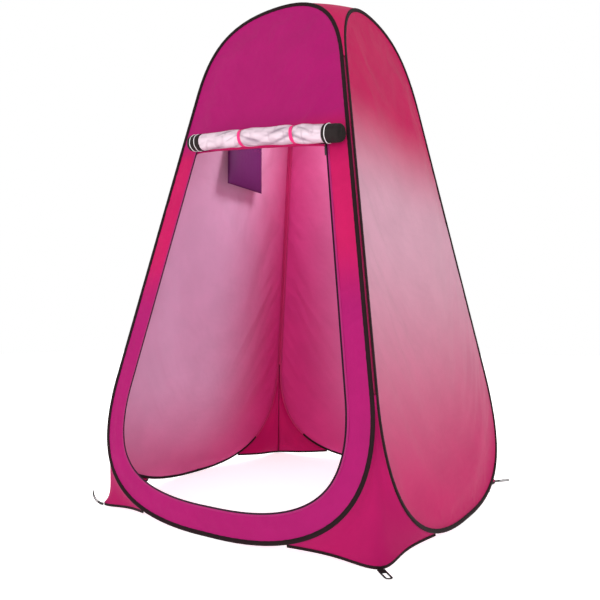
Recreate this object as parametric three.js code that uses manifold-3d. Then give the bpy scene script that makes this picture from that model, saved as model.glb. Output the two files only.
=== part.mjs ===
// Pop-up privacy shower tent: four leaning walls, each a spring-steel hoop bound to a fabric panel.
// Millimetres, +Z up. The origin is on the ground at the middle of the tent, and the door faces -Y.
import * as THREE from "three";
import { mergeVertices, mergeGeometries } from "three/addons/utils/BufferGeometryUtils.js";
import Module from "manifold-3d";

const wasm = await Module();
wasm.setup();

// Walls. u runs across a wall and v up its slope. Next to each other, two walls meet on a hip line.
const BASE_HALF = 640; // from the middle of the tent to a wall's foot
const LEAN_SINE = 0.182; // how far a wall leans in for each unit up its slope
const LEAN = Math.asin(LEAN_SINE);
const WALL_LENGTH = 1922; // up the slope, from the foot to the top of the arch
const HIP_LOW = 480; // two hoops run side by side between these two heights up the slope
const HIP_HIGH = 1632;
const FOOT_FLAT = 32; // half of the straight stretch at the bottom of a hoop
const FOOT_PULL = 366; // how far the curves keep their direction at each end
const LOW_SIDE_PULL = 386;
const HIGH_SIDE_PULL = 186;
const ARCH_PULL = 220;
const FOOT_STEPS = 9;
const ARCH_STEPS = 8;

// Hoop, its binding and the panel that the binding holds
const WIRE_RADIUS = 1.5;
const WIRE_SIDES = 6;
const WIRE_END_GAP = 0.4; // half of the gap between the two ends of the wire
const FERRULE_HALF = 22;
const FERRULE_INNER = 1.85;
const FERRULE_OUTER = 2.5;
const BINDING_OUT = 4.4; // the binding's rim and lip, from the wire's line
const BINDING_IN = 9.6;
const BINDING_HALF = 3.7;
const GROOVE_HALF = 2.85;
const LIP_HALF = 2.1;
const LIP_GROOVE_HALF = 0.85;
const SHOULDER = 2.3; // where the binding's flat sides turn in to its rim
const RIM_HALF = 1.85;
const PANEL_THICK = 1;
const PANEL_EDGE_IN = 4;
const HIP_GAP = 4.3; // from the hip line to a binding's rim
const WIRE_INSET = (HIP_GAP + BINDING_OUT) / Math.cos(Math.atan(LEAN_SINE));
const FOOT_LIFT = BINDING_OUT * Math.cos(LEAN) + BINDING_HALF * Math.sin(LEAN);

// Sewn pieces between the walls
const CLEARANCE = 0.3;
const SHEET_THICK = 0.8;
const SEAM_OUT = 5.6; // a sewn edge beside a binding, from the wire's line
const SEAM_TAPE_WIDTH = 15;
const TIP_HALF = 577; // from the middle of the tent to a gusset's tip, along X and Y
const HEM_HEIGHT = 9;
const HEM_THICK = 2;
const HEM_GAP = 1.2; // between the gusset's lowest row and the hem's top edge
const HEM_REACH = 300; // where the hem leaves the hoop, across the wall

// Peg loops
const LOOP_LENGTH = 72;
const LOOP_WIDTH = 24;
const LOOP_BAND = 6;
const LOOP_THICK = 2.4;
const LOOP_CURVE_STEPS = 6;
const RAISED_LOOP_TILT = THREE.MathUtils.degToRad(55);

// Door
const DOOR_MARGIN = 82; // between the hoop's wire and the opening
const DOOR_TOP = 1345; // at the middle of the top edge
const TOP_SLOPE = 0.125; // how far the top edge and the roll drop for each unit across
const ZIP_WIDTH = 12;
const ZIP_OVERLAP = 4;
const ZIP_THICK = 0.8;
const COIL_RADIUS = 1.3;
const ROLL_RADIUS = 31;
const ROLL_SIDES = 14;
const ROLL_HEIGHT = 1360;
const ROLL_GAP = 8; // behind the roll
const ROLL_STEPS = 8;
const ROLL_END_STEPS = 2;
const FLAP_REACH = 16; // from the wall into the back of the roll
const NOTCH_GAP = 1; // in the flap, on each side of a tie
const ROLL_BOW = 9; // how far the middle of the roll rises above its ends
const ROLL_MIDDLE = 48; // across the front wall
const ROLL_HALF = 275;
const ROLL_END = 60; // length of the dark wound tape at each end of the roll
const TIE_PLACES = [-30, 198];
const TIE_WIDTH = 13;
const SLIDER_LENGTH = 16;
const SLIDER_DROP = 12; // from the opening's top corner to the middle of the closed slider
const SLIDER_WALL = 1.1;
const PIN_RADIUS = 0.8;
const PIN_SIDES = 10;
const KNUCKLE_RADIUS = 2;
const KNUCKLE_WIDTH = 4;
const NECK_LENGTH = 6;
const PULL_LENGTH = 34;
const PULL_WIDTH = 7;
const PULL_THICK = 1;

// Storage pocket
const POCKET_WIDTH = 245;
const POCKET_HEIGHT = 222;
const POCKET_DEPTH = 17;
const POCKET_TOP = 1548; // up the slope of the left wall
const POCKET_MOUTH_DROP = 28;
const POUCH_INSET = 2; // from the pocket's side edges to the pouch
const HANGING_TAPE_WIDTH = 24;
const MOUTH_HEM_WIDTH = 14;
const CLOTH = 1.2;

const FABRIC = { roughness: 0.7, metalness: 0 };
const COLOURS = {
  magenta: 0xaa2370,
  crimson: 0xc04a70,
  pink: 0xb93168,
  black: 0x2a1a20,
  silver: 0xd8c0cc,
  purple: 0x65215e,
  rose: 0xe13278,
  steel: 0x8f9296,
};

function fabric(colour) {
  return new THREE.MeshStandardMaterial({ color: colour, ...FABRIC });
}

function metal(colour) {
  return new THREE.MeshStandardMaterial({ color: colour, roughness: 0.35, metalness: 0.9 });
}

function part(name, geometry, material) {
  const mesh = new THREE.Mesh(geometry, material);
  mesh.name = name;
  return mesh;
}

// ---- Outlines ----

// Half of the wire's line, from the foot to the top of the arch, as corners of a polyline in (u, v).
function halfHoop() {
  const side = (v) => BASE_HALF - WIRE_INSET - v * LEAN_SINE;
  const slope = new THREE.Vector2(-LEAN_SINE, 1).normalize();
  const low = new THREE.Vector2(side(HIP_LOW), HIP_LOW);
  const high = new THREE.Vector2(side(HIP_HIGH), HIP_HIGH);
  const lowPull = low.clone().addScaledVector(slope, -LOW_SIDE_PULL);
  const highPull = high.clone().addScaledVector(slope, HIGH_SIDE_PULL);
  const foot = new THREE.Path().moveTo(FOOT_FLAT, 0);
  foot.bezierCurveTo(FOOT_PULL, 0, lowPull.x, lowPull.y, low.x, low.y);
  const arch = new THREE.Path().moveTo(high.x, high.y);
  arch.bezierCurveTo(highPull.x, highPull.y, ARCH_PULL, WALL_LENGTH, 0, WALL_LENGTH);
  return [
    new THREE.Vector2(WIRE_END_GAP, 0),
    ...foot.getPoints(FOOT_STEPS),
    ...arch.getPoints(ARCH_STEPS),
  ];
}

// The whole line: up the +u side and down the -u side.
function wholeHoop() {
  const up = halfHoop();
  const down = up.slice(0, -1).reverse().map((p) => new THREE.Vector2(-p.x, p.y));
  return [...up, ...down];
}

// The same line moved outwards, at right angles to itself.
function offset(points, distance) {
  return points.map((p, i) => {
    const before = points[Math.max(i - 1, 0)];
    const after = points[Math.min(i + 1, points.length - 1)];
    const a = p.clone().sub(before).normalize();
    const b = after.clone().sub(p).normalize();
    const along = a.add(b).normalize();
    return new THREE.Vector2(p.x + along.y * distance, p.y - along.x * distance);
  });
}

// A polyline in a wall, as a curve whose even steps fall on its own corners.
// A section swept along it keeps its x out of the line's turn and its y towards the inside of the tent.
class Polyline extends THREE.Curve {
  constructor(corners) {
    super();
    this.corners = corners;
  }
  getPoint(t, target = new THREE.Vector3()) {
    const at = t * (this.corners.length - 1);
    const i = Math.min(Math.floor(at + 1e-9), this.corners.length - 2);
    return target.copy(this.corners[i]).lerp(this.corners[i + 1], at - i);
  }
  getPointAt(t, target) {
    return this.getPoint(t, target);
  }
  getTangentAt(t, target = new THREE.Vector3()) {
    const i = Math.round(t * (this.corners.length - 1));
    const here = this.corners[i];
    const back = here.clone().sub(this.corners[Math.max(i - 1, 0)]).normalize();
    const on = this.corners[Math.min(i + 1, this.corners.length - 1)].clone().sub(here).normalize();
    return target.copy(back).add(on).normalize();
  }
  computeFrenetFrames(steps) {
    const inside = new THREE.Vector3(0, 1, 0);
    const tangents = [];
    for (let i = 0; i <= steps; i++) tangents.push(this.getTangentAt(i / steps));
    const normals = tangents.map((tangent) => inside.clone().cross(tangent));
    return { tangents, normals, binormals: tangents.map(() => inside) };
  }
}

// One side of a line moved outwards, with the middle of the arch left in the middle.
function halfOffset(distance) {
  return offset(wholeHoop(), distance).slice(0, halfHoop().length);
}

function inWall(points, depth = 0) {
  return points.map((p) => new THREE.Vector3(p.x, depth, p.y));
}

// ---- Solids ----

function sweep(section, corners) {
  const path = new Polyline(corners);
  const options = { steps: corners.length - 1, extrudePath: path, bevelEnabled: false };
  return new THREE.ExtrudeGeometry(section, options);
}

function regularSection(radius, sides, x = 0, y = 0) {
  const corners = [];
  for (let i = 0; i < sides; i++) {
    const turn = ((i + 0.5) / sides) * 2 * Math.PI;
    corners.push(new THREE.Vector2(x + radius * Math.cos(turn), y + radius * Math.sin(turn)));
  }
  return new THREE.Shape(corners);
}

function rectangleSection(x0, x1, y0, y1) {
  const shape = new THREE.Shape().moveTo(x0, y0);
  shape.lineTo(x1, y0).lineTo(x1, y1).lineTo(x0, y1).closePath();
  return shape;
}

// A flat shape in (u, v), given a thickness about the depth it lies at.
function plate(shape, thickness, depth = 0) {
  const geometry = new THREE.ExtrudeGeometry(shape, { depth: thickness, bevelEnabled: false });
  geometry.rotateX(Math.PI / 2);
  geometry.translate(0, depth + thickness / 2, 0);
  return geometry;
}

// A cloth of the given thickness about a surface, closed along the surface's open edges.
function thicken(surface, thickness) {
  surface.deleteAttribute("normal");
  surface.deleteAttribute("uv");
  const merged = mergeVertices(surface, 1e-3);
  merged.computeVertexNormals();
  const place = merged.attributes.position;
  const normal = merged.attributes.normal;
  const count = place.count;
  const positions = [];
  for (const side of [0.5, -0.5]) {
    for (let i = 0; i < count; i++) {
      positions.push(
        place.getX(i) + normal.getX(i) * thickness * side,
        place.getY(i) + normal.getY(i) * thickness * side,
        place.getZ(i) + normal.getZ(i) * thickness * side,
      );
    }
  }
  const faces = [];
  const edges = new Map();
  const index = merged.index.array;
  for (let i = 0; i < index.length; i += 3) {
    const [a, b, c] = index.slice(i, i + 3);
    faces.push(a, b, c, a + count, c + count, b + count);
    for (const [from, to] of [[a, b], [b, c], [c, a]]) edges.set(from + "," + to, [from, to]);
  }
  for (const [from, to] of edges.values()) {
    if (!edges.has(to + "," + from)) {
      faces.push(from, from + count, to + count, from, to + count, to);
    }
  }
  const solid = new THREE.BufferGeometry();
  solid.setAttribute("position", new THREE.Float32BufferAttribute(positions, 3));
  solid.setIndex(faces);
  solid.computeVertexNormals();
  return solid;
}

// A surface through rows of points, which all have the same length.
function surfaceThrough(rows) {
  const across = rows[0].length;
  const surface = new THREE.BufferGeometry().setFromPoints(rows.flat());
  const faces = [];
  for (let r = 0; r + 1 < rows.length; r++) {
    for (let c = 0; c + 1 < across; c++) {
      const at = r * across + c;
      faces.push(at, at + 1, at + across, at + 1, at + across + 1, at + across);
    }
  }
  surface.setIndex(faces);
  return surface;
}

function toSolid(geometry) {
  const bare = geometry.clone();
  bare.deleteAttribute("normal");
  bare.deleteAttribute("uv");
  const merged = mergeVertices(bare, 1e-3);
  return new wasm.Manifold(
    new wasm.Mesh({
      numProp: 3,
      vertProperties: merged.attributes.position.array,
      triVerts: new Uint32Array(merged.index.array),
    }),
  );
}

function toGeometry(solid) {
  const mesh = solid.getMesh();
  const geometry = new THREE.BufferGeometry();
  geometry.setAttribute("position", new THREE.BufferAttribute(mesh.vertProperties, mesh.numProp));
  geometry.setIndex(new THREE.BufferAttribute(mesh.triVerts, 1));
  geometry.computeVertexNormals();
  return geometry;
}

function joined(first, second) {
  return toGeometry(toSolid(first).add(toSolid(second)));
}

function cut(first, second) {
  return toGeometry(toSolid(first).subtract(toSolid(second)));
}

function box(width, depth, height, x = 0, y = 0, z = 0) {
  return new THREE.BoxGeometry(width, depth, height).translate(x, y, z);
}

// ---- Walls ----

// The binding's section: a folded tape around the wire, open towards the panel. x points out of the hoop.
function bindingSection() {
  const half = [
    [-BINDING_IN, LIP_GROOVE_HALF],
    [-BINDING_IN, LIP_HALF],
    [-PANEL_EDGE_IN, BINDING_HALF],
    [SHOULDER, BINDING_HALF],
    [BINDING_OUT, RIM_HALF],
  ];
  const groove = [
    [GROOVE_HALF, GROOVE_HALF],
    [-SHOULDER, GROOVE_HALF],
  ];
  const mirror = ([x, y]) => [x, -y];
  const outline = [
    ...half,
    ...half.map(mirror).reverse(),
    ...groove.map(mirror).reverse(),
    ...groove,
  ];
  return new THREE.Shape(outline.map(([x, y]) => new THREE.Vector2(x, y)));
}

function wirePiece() {
  return sweep(regularSection(WIRE_RADIUS, WIRE_SIDES), inWall(wholeHoop()));
}

function bindingPiece() {
  return sweep(bindingSection(), inWall(wholeHoop()));
}

function ferrulePiece() {
  const tube = regularSection(FERRULE_OUTER, WIRE_SIDES);
  tube.holes.push(regularSection(FERRULE_INNER, WIRE_SIDES));
  return sweep(tube, [
    new THREE.Vector3(-FERRULE_HALF, 0, 0),
    new THREE.Vector3(FERRULE_HALF, 0, 0),
  ]);
}

function panelShape() {
  return new THREE.Shape(offset(wholeHoop(), -PANEL_EDGE_IN));
}

// The corner where the straight edge of the opening above low meets its sloping top edge.
function topCorner(low, side) {
  const reach = low.x + low.y * LEAN_SINE;
  const slope = side * TOP_SLOPE;
  const height = (DOOR_TOP - slope * reach) / (1 - slope * LEAN_SINE);
  return new THREE.Vector2(side * (reach - height * LEAN_SINE), height);
}

// The opening's edge from the top left corner, down, round and up to the top right corner.
function doorLine() {
  const right = halfOffset(-DOOR_MARGIN).filter((p) => p.y < HIP_LOW + 1);
  const low = right[right.length - 1];
  const left = right.map((p) => new THREE.Vector2(-p.x, p.y)).reverse();
  return [topCorner(low, -1), ...left, ...right, topCorner(low, 1)];
}

// Drops a geometry towards +u as the door's top edge drops.
function sloped(geometry) {
  return geometry.applyMatrix4(new THREE.Matrix4().makeShear(0, -TOP_SLOPE, 0, 0, 0, 0));
}

function panelPiece(hasDoor) {
  const shape = panelShape();
  if (hasDoor) shape.holes.push(new THREE.Path(doorLine()));
  return plate(shape, PANEL_THICK);
}

// A group in a wall's own frame: u along X, the inside of the tent on +Y, v along Z.
function wallFrame(quarterTurns) {
  const turned = new THREE.Group();
  turned.rotation.z = (quarterTurns * Math.PI) / 2;
  const foot = new THREE.Group();
  foot.position.set(0, -BASE_HALF, FOOT_LIFT);
  foot.rotation.x = -LEAN;
  turned.add(foot);
  turned.updateMatrixWorld(true);
  return { turned, foot };
}

function makeWall(name, quarterTurns, colour) {
  const { turned, foot } = wallFrame(quarterTurns);
  foot.add(part(name + "_hoop_wire", wirePiece(), metal(COLOURS.steel)));
  foot.add(part(name + "_hoop_ferrule", ferrulePiece(), metal(COLOURS.steel)));
  foot.add(part(name + "_hoop_binding", bindingPiece(), fabric(COLOURS.black)));
  foot.add(part(name + "_wall_panel", panelPiece(name === "front"), fabric(colour)));
  return { turned, foot };
}

// ---- Corners ----

// A point of one wall in the frame of the corner piece, which is drawn between the front and right walls.
function onFront(u, v, depth = 0) {
  return new THREE.Vector3(u, depth, v).applyMatrix4(wallFrame(0).foot.matrixWorld);
}

// The same point of the right wall, which is the front wall's mirror image in the corner's plane.
function mirrored(p) {
  return new THREE.Vector3(-p.y, -p.x, p.z);
}

function between(a, b, share) {
  return a.clone().lerp(b, share);
}

function cornerRow(edge, middle) {
  const quarter = between(edge, middle, 0.5);
  return [edge, quarter, middle, mirrored(quarter), mirrored(edge)];
}

// Points on the front hoop's lower curve, from the hip down to where the hem leaves it.
function gussetEdge() {
  const curve = halfOffset(SEAM_OUT).filter((p) => p.y < HIP_LOW + 1 && p.x > HEM_REACH);
  return curve.reverse().map((p) => onFront(p.x, p.y));
}

function gussetRows() {
  const edge = gussetEdge();
  const top = onFront(BASE_HALF - HIP_LOW * LEAN_SINE, HIP_LOW);
  const tip = new THREE.Vector3(TIP_HALF, -TIP_HALF, HEM_HEIGHT + HEM_GAP);
  const drop = edge[0].z - edge[edge.length - 1].z;
  return edge.map((p) => cornerRow(p, between(top, tip, (edge[0].z - p.z) / drop)));
}

function gussetPiece() {
  return thicken(surfaceThrough(gussetRows()), SHEET_THICK);
}

// The hem carries on from the gusset's lowest row down to the ground at the tip.
function hemPiece() {
  const lowered = (row, drop) => row.map((p) => new THREE.Vector3(p.x, p.y, p.z - drop));
  const sewn = gussetRows().pop();
  const rows = [lowered(sewn, HEM_GAP), lowered(sewn, HEM_GAP + HEM_HEIGHT - CLEARANCE)];
  return thicken(surfaceThrough(rows), HEM_THICK);
}

// The tape sewn over the hip on the inside, from one binding to the next.
function seamTapePiece() {
  const depth = BINDING_HALF + CLEARANCE + SHEET_THICK;
  const rows = [HIP_HIGH, HIP_LOW].map((v) => {
    const hip = BASE_HALF - v * LEAN_SINE;
    return cornerRow(onFront(hip - SEAM_TAPE_WIDTH, v, depth), onFront(hip - depth, v, depth));
  });
  return thicken(surfaceThrough(rows), SHEET_THICK);
}

// A peg loop: a flat band of webbing that hinges on its upper edge, at X = 0, where it is sewn to the tip.
function loopPiece() {
  const radius = LOOP_WIDTH / 2;
  const outer = new THREE.Shape().moveTo(0, -radius);
  outer.lineTo(LOOP_LENGTH - radius, -radius);
  outer.absarc(LOOP_LENGTH - radius, 0, radius, -Math.PI / 2, Math.PI / 2, false);
  outer.lineTo(0, radius).closePath();
  const slot = radius - LOOP_BAND;
  const start = LOOP_WIDTH;
  const hole = new THREE.Path().moveTo(start, -slot);
  hole.lineTo(LOOP_LENGTH - radius, -slot);
  hole.absarc(LOOP_LENGTH - radius, 0, slot, -Math.PI / 2, Math.PI / 2, false);
  hole.lineTo(start, slot).closePath();
  outer.holes.push(hole);
  const options = { depth: LOOP_THICK, bevelEnabled: false, curveSegments: LOOP_CURVE_STEPS };
  return new THREE.ExtrudeGeometry(outer, options).translate(0, 0, -LOOP_THICK);
}

function makeLoop(name, raised) {
  const outwards = new THREE.Group();
  const reach = TIP_HALF + HEM_THICK;
  outwards.position.set(reach, -reach, LOOP_THICK);
  outwards.rotation.z = -Math.PI / 4;
  const flap = new THREE.Group();
  flap.rotation.y = raised ? -RAISED_LOOP_TILT : 0;
  flap.add(part("peg_loop_" + name, loopPiece(), fabric(COLOURS.black)));
  outwards.add(flap);
  return outwards;
}

function makeCorner(name, quarterTurns, loopRaised) {
  const corner = new THREE.Group();
  corner.rotation.z = (quarterTurns * Math.PI) / 2;
  corner.add(part("gusset_" + name, gussetPiece(), fabric(COLOURS.pink)));
  corner.add(part("gusset_hem_" + name, hemPiece(), fabric(COLOURS.black)));
  corner.add(part("seam_tape_" + name, seamTapePiece(), fabric(COLOURS.pink)));
  corner.add(makeLoop(name, loopRaised));
  return corner;
}

// ---- Roof ----

// The roof falls from a flat square of cloth between the four arches to the upper ends of the hips.
function roofPiece() {
  const arch = halfOffset(SEAM_OUT).filter((p) => p.y > HIP_HIGH - 1);
  const corner = arch.map((p) => {
    const edge = onFront(p.x, p.y);
    return cornerRow(edge, between(edge, mirrored(edge), 0.5));
  });
  const crown = corner[corner.length - 1];
  const middle = new THREE.Vector3(0, 0, crown[0].z);
  const crownRows = [crown, crown.map((p) => between(p, middle, 0.5))];
  const quarters = [0, 1, 2, 3].flatMap((turns) => {
    const quarter = [surfaceThrough([...corner, crownRows[1]]), closingFan(crownRows[1], middle)];
    return quarter.map((g) => g.rotateZ((turns * Math.PI) / 2));
  });
  return thicken(mergeGeometries(quarters), SHEET_THICK);
}

function closingFan(row, centre) {
  const fan = new THREE.BufferGeometry().setFromPoints([...row, centre]);
  const faces = [];
  for (let i = 0; i + 1 < row.length; i++) faces.push(i, i + 1, row.length);
  fan.setIndex(faces);
  return fan;
}

// ---- Door ----

// The zip's sections have x pointing from the opening towards the panel.
function zipTapePiece() {
  const outside = -PANEL_THICK / 2 - CLEARANCE;
  const section = rectangleSection(ZIP_OVERLAP - ZIP_WIDTH, ZIP_OVERLAP, outside - ZIP_THICK, outside);
  return sweep(section, inWall(doorLine()));
}

function coilDepth() {
  return -PANEL_THICK / 2 - 2 * CLEARANCE - ZIP_THICK - COIL_RADIUS;
}

function coilReach() {
  return ZIP_WIDTH - ZIP_OVERLAP - COIL_RADIUS;
}

function zipCoilPiece() {
  const section = regularSection(COIL_RADIUS, WIRE_SIDES, -coilReach(), coilDepth());
  return sweep(section, inWall(doorLine()));
}

function topSeamPiece() {
  const line = doorLine();
  const left = line[0].x;
  const right = line[line.length - 1].x;
  const shape = rectangleSection(left, right, DOOR_TOP + CLEARANCE, DOOR_TOP + ZIP_WIDTH);
  return plate(shape, ZIP_THICK, -PANEL_THICK / 2 - CLEARANCE - ZIP_THICK / 2);
}

// The roll's centre line bows upwards between its ends.
function rollLine(from, to, steps) {
  const points = [];
  for (let i = 0; i <= steps; i++) {
    const u = from + ((to - from) * i) / steps;
    const share = (u - ROLL_MIDDLE) / (ROLL_HALF + ROLL_END);
    points.push(new THREE.Vector3(u, rollDepth(), ROLL_HEIGHT + ROLL_BOW * (1 - share * share)));
  }
  return points;
}

function rollDepth() {
  return -ROLL_RADIUS - ROLL_GAP;
}

// The door's cloth comes off its top edge as a short flap into the roll, which is notched for the ties.
function doorRollPiece() {
  const line = rollLine(ROLL_MIDDLE - ROLL_HALF, ROLL_MIDDLE + ROLL_HALF, ROLL_STEPS);
  const roll = sweep(regularSection(ROLL_RADIUS, ROLL_SIDES), line);
  const height = DOOR_TOP + ZIP_WIDTH + CLEARANCE + CLOTH / 2;
  const near = PANEL_THICK / 2 + CLEARANCE;
  const depth = -(near + FLAP_REACH) / 2;
  const notch = TIE_WIDTH + 2 * NOTCH_GAP;
  let flap = box(2 * ROLL_HALF - 2 * ZIP_WIDTH, FLAP_REACH - near, CLOTH, ROLL_MIDDLE, depth, height);
  for (const u of TIE_PLACES) flap = cut(flap, box(notch, 2 * FLAP_REACH, 2 * CLOTH, u, depth, height));
  return joined(roll, flap);
}

function rollEndPiece(side) {
  const near = ROLL_MIDDLE + side * (ROLL_HALF + CLEARANCE);
  const far = ROLL_MIDDLE + side * (ROLL_HALF + ROLL_END);
  const line = rollLine(Math.min(near, far), Math.max(near, far), ROLL_END_STEPS);
  return sweep(regularSection(ROLL_RADIUS + 1, ROLL_SIDES), line);
}

function tiePiece(u) {
  const [low, middle, high] = rollLine(u - TIE_WIDTH / 2, u + TIE_WIDTH / 2, 2);
  const inner = ROLL_RADIUS + 1;
  const ring = regularSection(inner + CLOTH, ROLL_SIDES);
  ring.holes.push(regularSection(inner, ROLL_SIDES));
  const tabDepth = -PANEL_THICK / 2 - 3 * CLEARANCE - CLOTH / 2;
  const tab = box(TIE_WIDTH, CLOTH, 2 * ROLL_RADIUS, u, tabDepth, middle.z + ROLL_RADIUS);
  const neck = tabDepth - (rollDepth() + inner + CLOTH / 2);
  const bridge = box(TIE_WIDTH, neck, CLOTH, u, tabDepth - neck / 2, middle.z);
  return joined(joined(sweep(ring, [low, high]), bridge), tab);
}

function makeDoor(foot) {
  foot.add(part("door_zip_tape", zipTapePiece(), fabric(COLOURS.black)));
  foot.add(part("door_zip_coil", zipCoilPiece(), fabric(COLOURS.black)));
  foot.add(part("door_top_seam", sloped(topSeamPiece()), fabric(COLOURS.black)));
  foot.add(part("door_roll", sloped(doorRollPiece()), fabric(COLOURS.silver)));
  foot.add(part("door_roll_end_left", sloped(rollEndPiece(-1)), fabric(COLOURS.black)));
  foot.add(part("door_roll_end_right", sloped(rollEndPiece(1)), fabric(COLOURS.black)));
  foot.add(part("door_tie_left", sloped(tiePiece(TIE_PLACES[0])), fabric(COLOURS.rose)));
  foot.add(part("door_tie_right", sloped(tiePiece(TIE_PLACES[1])), fabric(COLOURS.rose)));
  foot.add(makeSlider());
}

// The slider is a channel around the coil, with a slot for the tape. It lies about the coil's own line.
function sliderBody() {
  const inner = COIL_RADIUS + CLEARANCE;
  const outer = inner + SLIDER_WALL;
  const tapeMiddle = COIL_RADIUS + CLEARANCE + ZIP_THICK / 2;
  const shell = box(2 * outer + ZIP_THICK, 2 * outer + 2 * ZIP_THICK, SLIDER_LENGTH, 0, ZIP_THICK);
  const channel = box(2 * inner, 2 * inner + ZIP_THICK, 2 * SLIDER_LENGTH, 0, ZIP_THICK / 2);
  const slotHeight = ZIP_THICK + 2 * CLEARANCE;
  const slot = box(4 * outer, slotHeight, 2 * SLIDER_LENGTH, 2 * outer - inner, tapeMiddle);
  return cut(cut(shell, channel), slot);
}

// How far the pull's pin stands from the coil's line, outwards.
function pinDepth() {
  return -(COIL_RADIUS + CLEARANCE + SLIDER_WALL + KNUCKLE_RADIUS + CLEARANCE);
}

function rodAcross(radius, length, y = 0) {
  const rod = new THREE.CylinderGeometry(radius, radius, length, PIN_SIDES);
  return rod.rotateZ(Math.PI / 2).translate(0, y, 0);
}

// The slider with the two lugs and the pin that carry the pull.
function sliderPiece() {
  const face = pinDepth() + KNUCKLE_RADIUS + CLEARANCE;
  const reach = KNUCKLE_RADIUS + CLEARANCE + PIN_RADIUS;
  const apart = KNUCKLE_WIDTH / 2 + CLEARANCE + SLIDER_WALL / 2;
  let slider = sliderBody();
  const lugDepth = face - (reach - CLEARANCE) / 2;
  for (const side of [-1, 1]) {
    const lug = box(SLIDER_WALL, reach + CLEARANCE, 2 * KNUCKLE_RADIUS, side * apart, lugDepth);
    slider = joined(slider, lug);
  }
  return joined(slider, rodAcross(PIN_RADIUS, 2 * apart, pinDepth()));
}

// The pull hangs from a knuckle around the pin, which is at the origin here.
function pullPiece() {
  const neck = box(KNUCKLE_WIDTH, PULL_THICK, NECK_LENGTH, 0, 0, -NECK_LENGTH / 2 - PIN_RADIUS);
  const plateLength = PULL_LENGTH - NECK_LENGTH;
  const tab = box(PULL_WIDTH, PULL_THICK, plateLength, 0, 0, -NECK_LENGTH - plateLength / 2);
  const whole = joined(joined(rodAcross(KNUCKLE_RADIUS, KNUCKLE_WIDTH), neck), tab);
  return cut(whole, rodAcross(PIN_RADIUS + CLEARANCE, 2 * KNUCKLE_WIDTH));
}

function makeSlider() {
  const line = doorLine();
  const top = line[line.length - 1];
  const along = new THREE.Group();
  along.position.set(top.x + SLIDER_DROP * LEAN_SINE - coilReach(), coilDepth(), top.y - SLIDER_DROP);
  along.rotation.y = -Math.atan(LEAN_SINE);
  along.add(part("zip_slider", sliderPiece(), metal(COLOURS.black)));
  const pull = part("zip_pull", pullPiece(), metal(COLOURS.black));
  pull.position.y = pinDepth();
  along.add(pull);
  return along;
}

// ---- Pocket ----

// The pocket hangs plumb from a tape across the left wall, in a frame with the tent's middle on +Y.
function makePocket(foot) {
  const tapeDepth = PANEL_THICK / 2 + CLEARANCE + CLOTH / 2;
  const tapeHeight = POCKET_TOP + HANGING_TAPE_WIDTH / 2;
  const tape = box(POCKET_WIDTH, CLOTH, HANGING_TAPE_WIDTH, 0, tapeDepth, tapeHeight);
  foot.add(part("pocket_hanging_tape", tape, fabric(COLOURS.purple)));
  const plumb = new THREE.Group();
  plumb.position.set(0, tapeDepth, POCKET_TOP - 3 * CLEARANCE);
  plumb.rotation.x = LEAN;
  const back = box(POCKET_WIDTH, CLOTH, POCKET_HEIGHT, 0, 0, -POCKET_HEIGHT / 2 - CLOTH);
  plumb.add(part("pocket_back", back, fabric(COLOURS.purple)));
  const height = POCKET_HEIGHT - POCKET_MOUTH_DROP;
  const middle = CLOTH / 2 + CLEARANCE + POCKET_DEPTH / 2;
  const bottom = -POCKET_HEIGHT + height / 2;
  const width = POCKET_WIDTH - 2 * POUCH_INSET;
  const outer = box(width, POCKET_DEPTH, height, 0, middle, bottom);
  const inner = box(width - 2 * CLOTH, POCKET_DEPTH, height, 0, middle - CLOTH, bottom + CLOTH);
  plumb.add(part("pocket_pouch", cut(outer, inner), fabric(COLOURS.purple)));
  const hemPlace = CLOTH / 2 + 2 * CLEARANCE + POCKET_DEPTH + CLOTH / 2;
  const hemHeight = -POCKET_MOUTH_DROP - MOUTH_HEM_WIDTH / 2;
  const hem = box(width, CLOTH, MOUTH_HEM_WIDTH, 0, hemPlace, hemHeight);
  plumb.add(part("pocket_mouth_hem", hem, fabric(COLOURS.purple)));
  foot.add(plumb);
}

// ---- Tent ----

const tent = new THREE.Group();
const WALLS = [
  ["front", COLOURS.magenta],
  ["right", COLOURS.crimson],
  ["back", COLOURS.crimson],
  ["left", COLOURS.crimson],
];
const feet = {};
WALLS.forEach(([name, colour], quarterTurns) => {
  const { turned, foot } = makeWall(name, quarterTurns, colour);
  feet[name] = foot;
  tent.add(turned);
});
makeDoor(feet.front);
makePocket(feet.left);
["front_right", "right_back", "back_left", "left_front"].forEach((name, quarterTurns) => {
  tent.add(makeCorner(name, quarterTurns, name === "left_front"));
});
tent.add(part("roof_panel", roofPiece(), fabric(COLOURS.pink)));

export default tent;
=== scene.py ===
"""A pop-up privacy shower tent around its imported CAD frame: walls, piping, rolled door, pocket, webbing.

Everything is in metres, in the frame's own axes: +Z up and the door towards -Y.
A wall has its own flat frame (u, v): u runs across it, v up its slope, and depth towards the tent's inside.
"""
import math

import bmesh
import bpy
import numpy as np
from mathutils import Matrix, Vector, geometry


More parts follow.
